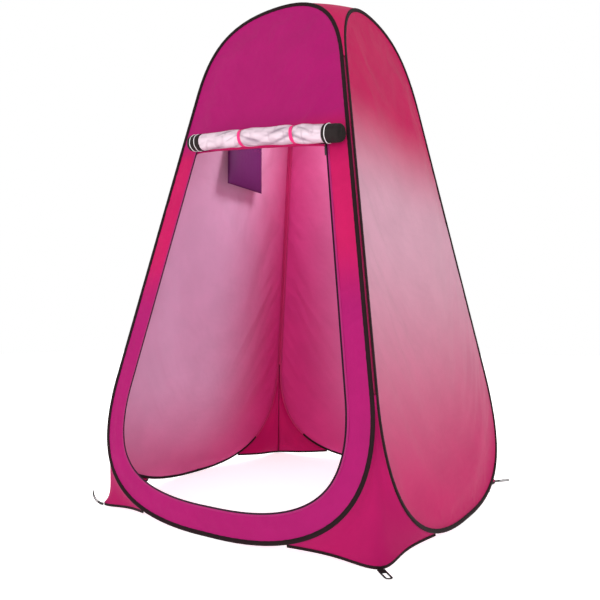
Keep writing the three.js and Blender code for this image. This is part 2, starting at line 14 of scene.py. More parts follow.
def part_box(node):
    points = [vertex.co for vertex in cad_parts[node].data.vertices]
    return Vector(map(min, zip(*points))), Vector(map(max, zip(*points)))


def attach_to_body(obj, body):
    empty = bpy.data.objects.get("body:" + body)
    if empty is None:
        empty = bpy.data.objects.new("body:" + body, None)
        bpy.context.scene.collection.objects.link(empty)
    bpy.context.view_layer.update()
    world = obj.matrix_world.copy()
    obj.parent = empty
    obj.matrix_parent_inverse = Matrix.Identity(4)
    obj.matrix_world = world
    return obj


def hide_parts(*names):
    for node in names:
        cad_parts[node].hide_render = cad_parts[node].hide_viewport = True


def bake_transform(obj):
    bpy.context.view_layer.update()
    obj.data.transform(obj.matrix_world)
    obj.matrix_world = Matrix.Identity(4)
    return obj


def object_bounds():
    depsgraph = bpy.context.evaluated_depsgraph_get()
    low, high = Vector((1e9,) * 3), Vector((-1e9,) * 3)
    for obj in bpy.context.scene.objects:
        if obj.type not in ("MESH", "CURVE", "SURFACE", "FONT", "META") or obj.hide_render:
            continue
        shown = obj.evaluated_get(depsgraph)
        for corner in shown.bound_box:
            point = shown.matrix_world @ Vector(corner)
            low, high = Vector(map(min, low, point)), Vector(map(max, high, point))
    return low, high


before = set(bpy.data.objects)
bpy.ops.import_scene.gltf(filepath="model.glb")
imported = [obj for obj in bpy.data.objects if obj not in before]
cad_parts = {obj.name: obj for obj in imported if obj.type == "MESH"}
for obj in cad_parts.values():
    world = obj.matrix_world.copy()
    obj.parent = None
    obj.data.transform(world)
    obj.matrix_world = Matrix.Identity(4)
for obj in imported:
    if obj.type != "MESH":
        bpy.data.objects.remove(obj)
cad_box = [list(corner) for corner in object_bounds()]
MM = 0.001

# ---- Sizes, the same driving dimensions as the CAD model's ----
BASE_HALF = 0.640
LEAN_SINE = 0.182
LEAN = math.asin(LEAN_SINE)
WALL_LENGTH = 1.922
HIP_LOW = 0.480
HIP_HIGH = 1.632
FOOT_FLAT = 0.032
FOOT_PULL = 0.366
LOW_SIDE_PULL = 0.386
HIGH_SIDE_PULL = 0.186
ARCH_PULL = 0.220
BINDING_OUT = 4.4 * MM
BINDING_IN = 9.6 * MM
BINDING_HALF = 3.7 * MM
LIP_HALF = 2.1 * MM
PANEL_EDGE_IN = 4 * MM
PANEL_THICK = 0.6 * MM
HIP_GAP = 4.3 * MM
WIRE_INSET = (HIP_GAP + BINDING_OUT) / math.cos(math.atan(LEAN_SINE))
FOOT_LIFT = BINDING_OUT * math.cos(LEAN) + BINDING_HALF * math.sin(LEAN)
SEAM_OUT = 3.2 * MM  # the seam allowance is tucked into the piping
SEAM_TAPE_WIDTH = 15 * MM
TIP_HALF = 0.577
HEM_HEIGHT = 9 * MM
HEM_REACH = 0.300
DOOR_MARGIN = 0.082
DOOR_TOP = 1.345
TOP_SLOPE = 0.125
ZIP_WIDTH = 12 * MM
ZIP_OVERLAP = 4 * MM
COIL_RADIUS = 1.3 * MM
ROLL_RADIUS = 31 * MM
ROLL_DEPTH = -39 * MM
ROLL_HEIGHT = 1.360
ROLL_BOW = 9 * MM
ROLL_MIDDLE = 48 * MM
ROLL_HALF = 0.275
ROLL_END = 60 * MM
TIE_PLACES = (-0.030, 0.198)
TIE_WIDTH = 13 * MM
POCKET_WIDTH = 0.245
POCKET_TOP = 1.548
HANGING_TAPE_WIDTH = 24 * MM
LOOP_LENGTH = 72 * MM
LOOP_WIDTH = 24 * MM
LOOP_BAND = 6 * MM
LOOP_THICK = 2.4 * MM
CELL = 14 * MM  # spacing of a cloth's points
EDGE_CLEARANCE = 0.62  # how many cells a cloth's inner points keep from its edges
SWELL = 7 * MM  # how far a wall's cloth stands out from its hoop's plane
BLACK_FOOT = 0.10  # below this height the piping is black on the inside as well
CLOTH_UNDER_TAPE = 5 * MM  # how far the front wall's cloth runs in under the zip tape
MERGE_GAP = 0.05 * MM
TAPE_THICK = 1.2 * MM  # of the ties and the pocket's hanging tape
FINE_THREAD = 0.25 * MM
GUSSET_HANG = 26 * MM  # how far a gusset's halves hang inwards
GUSSET_FOLD = 1.6 * MM
GUSSET_SMOOTHING = 16  # rounds
RAISED_BEND = (math.radians(12), math.radians(98))  # a peg loop's slope at its sewn end and at its tip
FLAT_BEND = (0.0, math.radians(5))
ROLL_STEPS, ROLL_SIDES = 150, 60
END_STEPS, END_SIDES = 40, 48
TIE_STEPS = 64
PINCH = 2.5 * MM  # how deep a tie presses into the roll

# ---- The walls' cloth simulation ----
SETTLE_FRAMES = 22
SETTLE_GRAVITY = 0.1
LOOSENESS = 0.003  # how much larger the cloth is than its frame
CLOTH_MASS = 0.06
CLOTH_STIFFNESS = 12.0
CLOTH_BENDING = 0.4
AIR_DAMPING = 3.0

TURNS = {"front": 0, "right": 1, "back": 2, "left": 3}
CORNERS = {
    "front_right": ("front", "right"),
    "right_back": ("right", "back"),
    "back_left": ("back", "left"),
    "left_front": ("left", "front"),
}


# ---- Camera, lights and floor ----

AZIMUTH = math.radians(32.88)  # fitted to the hoops' outlines in the photograph
ELEVATION = math.radians(-2.85)
DISTANCE = 2.548
AIM_SHIFT = (-0.070, 0.013, -0.160)
LENS = SENSOR = 36
FLOOR_REACH = 14.0
FLOOR_GAP = 0.2 * MM
LAMPS = (  # name, place, size, watts
    ("key", (-1.4, -3.8, 1.2), 2.2, 22),
    ("fill", (0.7, -3.4, 0.8), 1.6, 18),
    ("side", (3.6, -1.2, 2.2), 2.4, 14),
    ("back", (-2.6, 3.0, 1.4), 2.4, 110),
    ("inside", (0.0, 0.04, 1.62), 0.24, 4),
)
INSIDE_AIM = (-0.2, 0.35, 0.0)


def make_stage():
    scene = bpy.context.scene
    low, high = (Vector(c) for c in cad_box)
    middle = (low + high) / 2
    flat = math.cos(ELEVATION)
    back = Vector((math.sin(AZIMUTH) * flat, -math.cos(AZIMUTH) * flat, math.sin(ELEVATION)))
    camera = bpy.data.objects.new("camera", bpy.data.cameras.new("camera"))
    camera.data.lens = LENS
    camera.data.sensor_width = SENSOR
    camera.location = middle + Vector(AIM_SHIFT) + back * DISTANCE
    camera.rotation_mode = "QUATERNION"
    camera.rotation_quaternion = (-back).to_track_quat("-Z", "Y")
    scene.collection.objects.link(camera)
    scene.camera = camera

    world = bpy.data.worlds.new("studio")
    world.use_nodes = True
    background = world.node_tree.nodes["Background"]
    background.inputs["Color"].default_value = (1, 1, 1, 1)
    background.inputs["Strength"].default_value = 1.0
    scene.world = world
    scene.view_settings.view_transform = "Standard"
    for name, place, size, watts in LAMPS:
        light = bpy.data.lights.new(name, "AREA")
        light.energy = watts
        light.size = size
        lamp = bpy.data.objects.new(name, light)
        lamp.location = place
        aim = Vector(INSIDE_AIM) if name == "inside" else middle
        lamp.rotation_euler = (aim - Vector(place)).to_track_quat("-Z", "Y").to_euler()
        scene.collection.objects.link(lamp)

    mesh = bpy.data.meshes.new("floor")
    corners = [(-1, -1), (1, -1), (1, 1), (-1, 1)]
    points = [(x * FLOOR_REACH, y * FLOOR_REACH, low.z - FLOOR_GAP) for x, y in corners]
    mesh.from_pydata(points, [], [(0, 1, 2, 3)])
    floor = bpy.data.objects.new("floor", mesh)
    scene.collection.objects.link(floor)
    nodes = Nodes("floor")
    nodes.surface({"Base Color": (0.9, 0.9, 0.9, 1), "Roughness": 0.9,
                   "Emission Color": (1, 1, 1, 1), "Emission Strength": 0.6})
    mesh.materials.append(nodes.material)


# ---- Materials ----

def srgb(r, g, b):
    """A colour given as 0 to 255 in sRGB, as linear RGBA."""
    def linear(c):
        c /= 255
        return c / 12.92 if c <= 0.04045 else ((c + 0.055) / 1.055) ** 2.4
    return (linear(r), linear(g), linear(b), 1.0)


class Nodes:
    """A material's node tree, with short ways to add the nodes that the cloths use."""

    def __init__(self, name):
        self.material = bpy.data.materials.new(name)
        self.material.use_nodes = True
        self.tree = self.material.node_tree
        self.tree.nodes.clear()
        self.uv = self.add("ShaderNodeUVMap").outputs[0]

    def add(self, kind, inputs=None, **settings):
        node = self.tree.nodes.new(kind)
        for key, value in settings.items():
            setattr(node, key, value)
        for key, value in (inputs or {}).items():
            if isinstance(value, bpy.types.NodeSocket):
                self.tree.links.new(value, node.inputs[key])
            else:
                node.inputs[key].default_value = value
        return node

    def output(self, shader):
        self.tree.links.new(shader, self.add("ShaderNodeOutputMaterial").inputs["Surface"])

    def surface(self, inputs):
        """The whole surface as one Principled shader. Returns the material."""
        self.output(self.add("ShaderNodeBsdfPrincipled", inputs).outputs[0])
        return self.material

    def math(self, operation, a, b=0.0):
        return self.add("ShaderNodeMath", {0: a, 1: b}, operation=operation).outputs[0]

    def axes(self):
        split = self.add("ShaderNodeSeparateXYZ", {0: self.uv})
        return split.outputs[0], split.outputs[1]

    def noise(self, scale, detail=2.0, stretch=(1, 1, 1), rough=0.5):
        vector = self.add("ShaderNodeMapping", {"Vector": self.uv, "Scale": stretch}).outputs[0]
        inputs = {"Vector": vector, "Scale": scale, "Detail": detail, "Roughness": rough}
        return self.add("ShaderNodeTexNoise", inputs).outputs[0]

    def fade(self, value, low, high):
        """0 up to low and 1 from high, smooth between them. low may be above high."""
        inputs = {0: value, 1: low, 2: high}
        return self.add("ShaderNodeMapRange", inputs, interpolation_type="SMOOTHSTEP").outputs[0]

    def mix(self, share, a, b, blend="MIX"):
        node = self.add("ShaderNodeMix", {0: share}, data_type="RGBA", blend_type=blend)
        for socket, value in ((node.inputs[6], a), (node.inputs[7], b)):
            if isinstance(value, bpy.types.NodeSocket):
                self.tree.links.new(value, socket)
            else:
                socket.default_value = value
        return node.outputs[2]

    def bump(self, height, depth, strength=1.0, normal=None):
        inputs = {"Height": height, "Distance": depth, "Strength": strength}
        if normal is not None:
            inputs["Normal"] = normal
        return self.add("ShaderNodeBump", inputs).outputs[0]

    def weave(self, pitch):
        """Plain weave: threads over and under each other, 0 to 1."""
        u, v = self.axes()
        turn = math.pi / pitch
        over = self.math("MULTIPLY", self.math("SINE", self.math("MULTIPLY", u, turn)),
                         self.math("SINE", self.math("MULTIPLY", v, turn)))
        return self.math("ADD", self.math("MULTIPLY", over, 0.5), 0.5)


def variation(nodes, colour, amount, scale=7.0):
    """The colour, a little darker and lighter from place to place."""
    share = nodes.fade(nodes.noise(scale, 3.0), 0.3, 0.7)
    darker, lighter = ((factor, factor, factor, 1) for factor in (1 - amount, 1 + amount))
    return nodes.mix(1.0, colour, nodes.mix(share, darker, lighter), "MULTIPLY")


def cloth_shader(nodes, colour, *, pitch=1.1 * MM, roughness=0.6, sheen=0.02, through=0.0, crinkle=0.5 * MM,
                 weave_depth=0.12 * MM, shade=0.03, specular=0.12):
    """A woven cloth: thread relief, soft crinkles, slight colour change, and light that comes through it."""
    colour = variation(nodes, colour, shade)
    threads = nodes.weave(pitch)
    colour = nodes.mix(nodes.math("MULTIPLY", threads, 0.10), colour, (0, 0, 0, 1))
    folds = nodes.bump(nodes.noise(55.0, 3.0), crinkle, 0.6)
    relief = nodes.bump(threads, weave_depth, 0.5, folds)
    shine = nodes.math("ADD", nodes.math("MULTIPLY", nodes.noise(40.0, 2.0), 0.16), roughness - 0.08)
    surface = nodes.add("ShaderNodeBsdfPrincipled", {
        "Base Color": colour, "Roughness": shine, "Normal": relief, "Sheen Weight": sheen,
        "Sheen Roughness": 0.4, "Specular IOR Level": specular,
    }).outputs[0]
    if through:
        glow = nodes.add("ShaderNodeBsdfTranslucent", {"Color": colour, "Normal": relief}).outputs[0]
        surface = nodes.add("ShaderNodeMixShader", {0: through, 1: surface, 2: glow}).outputs[0]
    nodes.output(surface)
    return nodes.material


def plain_cloth(name, colour, **settings):
    nodes = Nodes(name)
    return cloth_shader(nodes, srgb(*colour), **settings)


COARSE = {"pitch": 1.6 * MM, "roughness": 0.75, "weave_depth": 0.3 * MM}
HEAVY = {"pitch": 2.4 * MM, "roughness": 0.7, "weave_depth": 0.6 * MM}
SEWING = {"pitch": 0.7 * MM}
CRIMSON = (194, 24, 90)
# the deep pink of the painted shade on the walls' insides
SHADED_PINK = (204, 54, 130)
# the pale pink of the painted sheen on the walls' outside
SHEEN_PALE = (211, 163, 182)
# the lilac of the painted light on the walls' insides
LIT_LILAC = (222, 176, 208)
MAGENTA = (166, 16, 102)


def wall_outside(name):
    """Crimson at the top and foot of the wall, with a broad pale band between them: a painted sheen, light
    painted into the cloth's colour.
    """
    nodes = Nodes(name)
    _, height = nodes.axes()
    # rise and fall mask the painted sheen: the pale band across the wall's middle heights
    rise = nodes.fade(height, 0.05, 1.05)
    fall = nodes.fade(height, 1.55, 1.10)
    ground = nodes.mix(nodes.fade(height, 0.3, 1.3), srgb(196, 36, 104), srgb(*CRIMSON))
    colour = nodes.mix(nodes.math("MULTIPLY", rise, fall), ground, srgb(*SHEEN_PALE))
    return cloth_shader(nodes, colour, through=0.28)


def wall_inside(name, seam_u, lit_u, most):
    """Painted light and shade: deep pink shade beside the rear seam and at the foot, lit lilac away from
    them.
    """
    nodes = Nodes(name)
    across, height = nodes.axes()
    # away and up mask the painted light; where both are low, the corner and foot keep the painted shade
    away = nodes.fade(across, seam_u, lit_u)
    up = nodes.fade(height, -0.15, 0.50)
    share = nodes.math("MULTIPLY", nodes.math("MULTIPLY", away, up), most)
    colour = nodes.mix(share, srgb(*SHADED_PINK), srgb(*LIT_LILAC))
    return cloth_shader(nodes, colour, through=0.28)


def front_outside(name):
    """Magenta, turning crimson beside the upper part of the doorway."""
    nodes = Nodes(name)
    _, height = nodes.axes()
    share = nodes.math("MULTIPLY", nodes.fade(height, 0.72, 0.98), nodes.fade(height, 1.44, 1.34))
    colour = nodes.mix(share, srgb(*MAGENTA), srgb(192, 18, 90))
    return cloth_shader(nodes, colour, through=0.18)


def steel_material():
    """Drawn spring steel: fine lines along the wire and faint heat tint."""
    nodes = Nodes("spring_steel")
    lines = nodes.noise(300.0, 2.0, (0.02, 1, 1))
    colour = variation(nodes, srgb(150, 152, 156), 0.08, 30.0)
    roughness = nodes.math("ADD", nodes.math("MULTIPLY", lines, 0.25), 0.2)
    return nodes.surface({"Base Color": colour, "Roughness": roughness, "Metallic": 1.0,
                          "Normal": nodes.bump(lines, 0.05 * MM, 0.4)})


def painted_metal():
    """Black painted zinc with worn spots that show a little grey."""
    nodes = Nodes("slider_paint")
    wear = nodes.add("ShaderNodeTexNoise", {"Vector": nodes.add("ShaderNodeTexCoord").outputs["Object"],
                                            "Scale": 420.0, "Detail": 4.0}).outputs[0]
    colour = nodes.mix(nodes.fade(wear, 0.62, 0.75), srgb(22, 20, 22), srgb(84, 80, 80))
    roughness = nodes.math("ADD", nodes.math("MULTIPLY", wear, 0.3), 0.2)
    return nodes.surface({"Base Color": colour, "Roughness": roughness, "Metallic": 0.3,
                          "Normal": nodes.bump(wear, 0.05 * MM, 0.5), "Coat Weight": 0.3,
                          "Coat Roughness": 0.2})


def silver_lining():
    """Silver-coated taffeta: pinkish and satin, with painted shade that greys it in the hollows of its
    creases and along its wrinkles.
    """
    nodes = Nodes("door_lining")
    # painted shade: the roll's crease attribute is low in its relief's hollows, and the colour greys there
    crease_shade = nodes.add("ShaderNodeAttribute", attribute_name="crease").outputs["Fac"]
    off_line = nodes.math("ABSOLUTE", nodes.math("SUBTRACT", nodes.noise(15.0, 1.0, (1, 0.5, 1)), 0.5))
    wrinkle = nodes.fade(off_line, 0.0, 0.07)
    colour = nodes.mix(nodes.fade(crease_shade, 0.15, 0.75), srgb(140, 118, 132), srgb(204, 182, 193))
    # painted shade: darker grey along the wrinkle lines, which the bump presses in
    colour = nodes.mix(wrinkle, nodes.mix(0.75, srgb(140, 116, 130), colour), colour)
    normal = nodes.bump(nodes.weave(0.9 * MM), 0.08 * MM, 0.4, nodes.bump(wrinkle, 2.0 * MM, 0.6))
    return nodes.surface({"Base Color": colour, "Roughness": 0.4, "Metallic": 0.2, "Normal": normal,
                          "Sheen Weight": 0.05})


MATERIALS = {
    "front_outside": front_outside("front_outside"),
    "front_inside": plain_cloth("front_inside", (190, 90, 140), through=0.18),
    "wall_outside": wall_outside("wall_outside"),
    # each wall's inside: painted shade by its rear seam and foot, painted light away from them
    "left_inside": wall_inside("left_inside", -0.50, 0.06, 1.0),
    "back_inside": wall_inside("back_inside", 0.46, -0.30, 0.75),
    "right_inside": wall_inside("right_inside", 0.5, -0.2, 0.8),
    "gusset": plain_cloth("gusset", (188, 22, 104), through=0.4),
    "roof": plain_cloth("roof", (196, 26, 90), through=0.2),
    "binding": plain_cloth("binding", (30, 12, 17), shade=0.15, **COARSE),
    "sleeve": plain_cloth("sleeve", (182, 40, 98), through=0.05),
    "thread": plain_cloth("thread", (26, 16, 20), **SEWING),
    "pink_thread": plain_cloth("pink_thread", (204, 84, 134), **SEWING),
    "zip_tape": plain_cloth("zip_tape", (160, 34, 102), pitch=1.5 * MM, roughness=0.7, weave_depth=0.25 * MM),
    "zip_coil": plain_cloth("zip_coil", (44, 10, 34), pitch=1.3 * MM, roughness=0.35, shade=0.1),
    "roll_end": plain_cloth("roll_end", (34, 27, 27), shade=0.2, **COARSE),
    "white_piping": plain_cloth("white_piping", (232, 226, 228), pitch=1.0 * MM, roughness=0.6),
    "tie": plain_cloth("tie", (222, 48, 116), pitch=1.3 * MM, roughness=0.55, weave_depth=0.25 * MM),
    "pocket": plain_cloth("pocket", (90, 28, 84), roughness=0.6, through=0.06),
    "webbing": plain_cloth("webbing", (30, 25, 26), shade=0.15, **HEAVY),
    "lining": silver_lining(),
    "steel": steel_material(),
    "paint": painted_metal(),
}


# ---- Flat outlines ----

def unit(a):
    a = np.asarray(a, float)
    return a / np.maximum(np.linalg.norm(a, axis=-1, keepdims=True), 1e-12)


def bezier(a, b, c, d, steps=60):
    t = np.linspace(0, 1, steps)[:, None]
    a, b, c, d = (np.array(p, float) for p in (a, b, c, d))
    return (1 - t) ** 3 * a + 3 * (1 - t) ** 2 * t * b + 3 * (1 - t) * t * t * c + t**3 * d


def lengths_along(line):
    """How far along a line each of its points is."""
    return np.concatenate([[0], np.cumsum(np.linalg.norm(np.diff(line, axis=0), axis=1))])


def resample(points, spacing, closed=False):
    """The same line with evenly spaced points."""
    if closed:
        points = np.vstack([points, points[:1]])
    along = lengths_along(points)
    at = np.linspace(0, along[-1], max(2, round(along[-1] / spacing)) + 1)
    if closed:
        at = at[:-1]
    return np.stack([np.interp(at, along, points[:, k]) for k in range(points.shape[1])], 1)


def outwards(line, closed=True):
    """The side a line turns away from, at each of its points."""
    ahead, behind = np.roll(line, -1, 0), np.roll(line, 1, 0)
    if not closed:
        ahead[-1], behind[0] = line[-1], line[0]
    along = unit(ahead - behind)
    return np.stack([along[:, 1], -along[:, 0]], 1)


def offset(line, distance, closed=True):
    return line + distance * outwards(line, closed)


def half_hoop():
    """The wire's line from the foot's middle to the top of the arch, on the +u side."""
    slope = unit((-LEAN_SINE, 1))
    low = np.array([BASE_HALF - WIRE_INSET - HIP_LOW * LEAN_SINE, HIP_LOW])
    high = np.array([BASE_HALF - WIRE_INSET - HIP_HIGH * LEAN_SINE, HIP_HIGH])
    foot = bezier((FOOT_FLAT, 0), (FOOT_PULL, 0), low - slope * LOW_SIDE_PULL, low)
    arch = bezier(high, high + slope * HIGH_SIDE_PULL, (ARCH_PULL, WALL_LENGTH), (0, WALL_LENGTH))
    return np.vstack([[(0, 0)], foot, arch])


HALF = half_hoop()
HOOP = resample(np.vstack([HALF, (HALF * (-1, 1))[-2:0:-1]]), 4 * MM, closed=True)


def door_line(spacing=6 * MM):
    """The doorway's edge from the top left corner, down, round and up to the top right corner."""
    inner = offset(HOOP, -DOOR_MARGIN)
    right = inner[(inner[:, 0] >= 0) & (inner[:, 1] < HIP_LOW)]
    reach = right[-1, 0] + right[-1, 1] * LEAN_SINE
    corners = []
    for side in (-1, 1):
        slope = side * TOP_SLOPE
        height = (DOOR_TOP - slope * reach) / (1 - slope * LEAN_SINE)
        corners.append((side * (reach - height * LEAN_SINE), height))
    return resample(np.vstack([corners[:1], (right * (-1, 1))[::-1], right, corners[1:]]), spacing)


def inside(points, outline):
    """Which points lie within a closed outline."""
    found = np.zeros(len(points), bool)
    x, y = points[:, 0], points[:, 1]
    for (x0, y0), (x1, y1) in zip(outline, np.roll(outline, -1, 0)):
        crosses = (y0 > y) != (y1 > y)
        if crosses.any():
            found ^= crosses & (x < x0 + (y - y0) * (x1 - x0) / (y1 - y0 + 1e-15))
    return found


def gap_to(points, line):
    """Each point's distance to the nearest of a line's points."""
    near = np.full(len(points), 9.0)
    for start in range(0, len(line), 64):
        away = np.linalg.norm(points[:, None] - line[None, start:start + 64], axis=2)
        near = np.minimum(near, away.min(1))
    return near


def fill(outline, hole=None):
    """Points and triangles of about one size that fill an outline around a hole."""
    loops = [outline] if hole is None else [outline, hole]
    low, high = outline.min(0), outline.max(0)
    rows = np.arange(low[1], high[1], CELL * math.sqrt(0.75))
    across = np.arange(low[0], high[0], CELL)
    grid = np.array([(x + (i % 2) * CELL / 2, y) for i, y in enumerate(rows) for x in across])
    keep = inside(grid, outline)
    if hole is not None:
        keep &= ~inside(grid, hole)
    edge = np.vstack(loops)
    grid = grid[keep]
    grid = grid[gap_to(grid, edge) > EDGE_CLEARANCE * CELL]
    points = np.vstack([edge, grid])
    edges, start = [], 0
    for loop in loops:
        count = len(loop)
        edges += [(start + i, start + (i + 1) % count) for i in range(count)]
        start += count
    flat = [Vector(p) for p in points]
    found = geometry.delaunay_2d_cdt(flat, edges, [], 1, 1e-6)
    out, faces = np.array(found[0]), np.array(found[2])
    if hole is not None:
        faces = faces[~inside(out[faces].mean(1), hole)]
    return out, faces


# ---- Walls in space ----

def wall_matrix(name):
    turned = Matrix.Rotation(TURNS[name] * math.pi / 2, 4, "Z")
    return np.array(turned @ Matrix.Translation((0, -BASE_HALF, FOOT_LIFT)) @ Matrix.Rotation(-LEAN, 4, "X"))


def moved(points, matrix):
    matrix = np.array(matrix)
    return points @ matrix[:3, :3].T + matrix[:3, 3]


def in_wall(name, uv, depth=0.0):
    uv = np.atleast_2d(uv)
    local = np.stack([uv[:, 0], np.broadcast_to(depth, len(uv)), uv[:, 1]], 1)
    return moved(local, wall_matrix(name))


def turned(points, corner):
    """Points drawn for the front right corner, moved to another corner."""
    turns = list(CORNERS).index(corner)
    return moved(points, Matrix.Rotation(turns * math.pi / 2, 4, "Z"))


# ---- Meshes ----

class Piece:
    """One piece's mesh, gathered part by part: points, faces, UVs in metres, and each face's material."""

    def __init__(self, *materials):
        self.materials = [MATERIALS[m] for m in materials]
        self.points, self.faces, self.uvs, self.kinds = [], [], [], []
        self.count = 0

    def add(self, points, faces, corner_uvs, kind=0):
        """faces as an array of corners; corner_uvs with one UV for each corner."""
        self.points.append(np.asarray(points, float))
        self.faces += (np.asarray(faces) + self.count).tolist()
        self.uvs.append(np.asarray(corner_uvs, float).reshape(-1, 2))
        self.kinds += [kind] * len(faces)
        self.count += len(points)

    def sheet(self, points, faces, uvs, kind=0):
        self.add(points, faces, np.asarray(uvs)[np.asarray(faces)], kind)

    def grid(self, points, rows_uv, cols_uv, kind=0, closed_rows=False, closed_cols=False, caps=False):
        """Quads through points[row, column]. A closed way has one more value in rows_uv or cols_uv."""
        rows, cols = points.shape[:2]
        down, over = np.arange(rows - (not closed_rows)), np.arange(cols - (not closed_cols))
        i, j = (a.ravel() for a in np.meshgrid(down, over, indexing="ij"))
        ends = [(i, j), (i, j + 1), (i + 1, j + 1), (i + 1, j)]
        faces = np.stack([(a % rows) * cols + b % cols for a, b in ends], 1)
        uvs = np.stack([np.stack([np.take(rows_uv, a), np.take(cols_uv, b)], -1) for a, b in ends], 1)
        base = self.count
        self.add(points.reshape(-1, 3), faces, uvs, kind)
        if caps:
            for row, order in ((0, -1), (rows - 1, 1)):
                ring = (np.arange(cols)[::order] + row * cols + base).tolist()
                self.faces.append(ring)
                flat = points[row] - points[row].mean(0)
                self.uvs.append(np.stack([flat[::order, 0], flat[::order, 2]], 1))
                self.kinds.append(kind)

    def tube(self, path, across, up, section, kind=0, closed=False, section_closed=True, scale=None):
        """A section swept along a path. across and up are the section's axes at each point of the path."""
        section = np.asarray(section, float)
        sizes = np.ones(len(path)) if scale is None else scale
        points = (path[:, None] + across[:, None] * section[None, :, :1] * sizes[:, None, None]
                  + up[:, None] * section[None, :, 1:] * sizes[:, None, None])
        along = lengths_along(path)
        if closed:
            along = np.append(along, along[-1] + np.linalg.norm(path[0] - path[-1]))
        around = lengths_along(np.vstack([section, section[:1]]))
        self.grid(points, along, around if section_closed else around[:-1], kind, closed, section_closed,
                  caps=section_closed and not closed)

    def recolour(self, strips, kind):
        """Gives another material to the strips of a tube that is the piece's first part."""
        self.kinds = [kind if strips[i % len(strips)] else old for i, old in enumerate(self.kinds)]

    def stitches(self, path, across, up, kind, length=3.2 * MM, gap=1.6 * MM, radius=0.32 * MM):
        """A row of short threads lying along a path: each has four rings of five points and two end faces."""
        along = lengths_along(path)
        starts = np.arange(gap, along[-1] - length, length + gap)
        shares, sizes = np.array([0.0, 0.25, 0.75, 1.0]), np.array([0.35, 1.0, 1.0, 0.35])
        at = starts[:, None] + shares * length
        centre, side, rise = (np.stack([np.interp(at, along, a[:, k]) for k in range(3)], -1)
                              for a in (path, across, up))
        turns = np.arange(5) * 2 * math.pi / 5
        ways = (np.cos(turns)[:, None] * unit(side)[:, :, None]
                + np.sin(turns)[:, None] * unit(rise)[:, :, None])
        points = centre[:, :, None] + radius * sizes[:, None, None] * ways
        first = (np.arange(len(starts)) * 20)[:, None]
        ring, spot = (a.ravel() for a in np.meshgrid(np.arange(3), np.arange(5), indexing="ij"))
        after = (spot + 1) % 5
        corners = [(ring, spot), (ring, after), (ring + 1, after), (ring + 1, spot)]
        faces = np.stack([first + r * 5 + c for r, c in corners], -1).reshape(-1, 4)
        flat = [np.stack([shares[r] * length, (spot + (c != spot)) * radius], -1) for r, c in corners]
        flat = np.stack(flat, 1)
        self.add(points.reshape(-1, 3), faces, np.tile(flat, (len(starts), 1, 1)), kind)
        base = self.count - len(starts) * 20
        ends = np.concatenate([first + np.arange(5)[::-1], first + 15 + np.arange(5)])
        self.faces += (ends + base).tolist()
        self.uvs.append(np.tile(np.stack([np.cos(turns), np.sin(turns)], 1) * radius, (len(ends), 1)))
        self.kinds += [kind] * len(ends)

    def object(self, name, outside=None, solid=False):
        """The piece as an object. outside is the direction that an open cloth's faces look towards."""
        mesh = bpy.data.meshes.new(name)
        mesh.from_pydata(np.vstack(self.points).tolist(), [], self.faces)
        mesh.uv_layers.new(name="cloth").data.foreach_set("uv", np.vstack(self.uvs).ravel())
        mesh.polygons.foreach_set("material_index", self.kinds)
        for material in self.materials:
            mesh.materials.append(material)
        mesh.shade_smooth()
        if outside is not None:
            normals = np.zeros(len(mesh.polygons) * 3)
            mesh.polygons.foreach_get("normal", normals)
            if (normals.reshape(-1, 3).mean(0) @ np.asarray(outside)) < 0:
                mesh.flip_normals()
        obj = bpy.data.objects.new(name, mesh)
        bpy.context.scene.collection.objects.link(obj)
        if solid:
            face_out(obj)
        return obj


def edit_mesh(obj, change):
    """Runs one bmesh change on the object's mesh."""
    bm = bmesh.new()
    bm.from_mesh(obj.data)
    change(bm)
    bm.to_mesh(obj.data)
    bm.free()


def face_out(obj):
    edit_mesh(obj, lambda bm: bmesh.ops.recalc_face_normals(bm, faces=bm.faces))


def merge_points(obj):
    edit_mesh(obj, lambda bm: bmesh.ops.remove_doubles(bm, verts=bm.verts, dist=MERGE_GAP))


def subdivide(obj):
    smooth = obj.modifiers.new("smooth", "SUBSURF")
    smooth.levels = smooth.render_levels = 1
    return apply_modifiers(obj)


def stand_for(obj, body, node):
    """Rides the piece on a body, and hides the CAD node that it stands in for."""
    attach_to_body(obj, body)
    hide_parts(node)


def apply_modifiers(obj):
    """Makes the modifiers' result the object's own mesh."""
    graph = bpy.context.evaluated_depsgraph_get()
    settled = obj.evaluated_get(graph)
    made = bpy.data.meshes.new_from_object(settled, preserve_all_data_layers=True, depsgraph=graph)
    obj.modifiers.clear()
    obj.data = made
    return obj


def thicken(obj, thickness, other_side=False):
    solid = obj.modifiers.new("cloth", "SOLIDIFY")
    solid.thickness = thickness
    solid.offset = 0
    solid.use_even_offset = False
    if other_side:
        solid.material_offset = 1
    return apply_modifiers(obj)


def flat_area(uv, faces):
    """A cut's area in its own plane, before it settles."""
    total = 0.0
    for face in faces:
        x, y = uv[list(face)].T
        total += abs(x @ np.roll(y, -1) - y @ np.roll(x, -1)) / 2
    return float(total)


def cut_size(points):
    """A grid's size as a flat cut: the length of its longest row, and of its middle column."""
    down, wide = grid_lengths(points)
    return float(wide[-1]), float(down[-1])


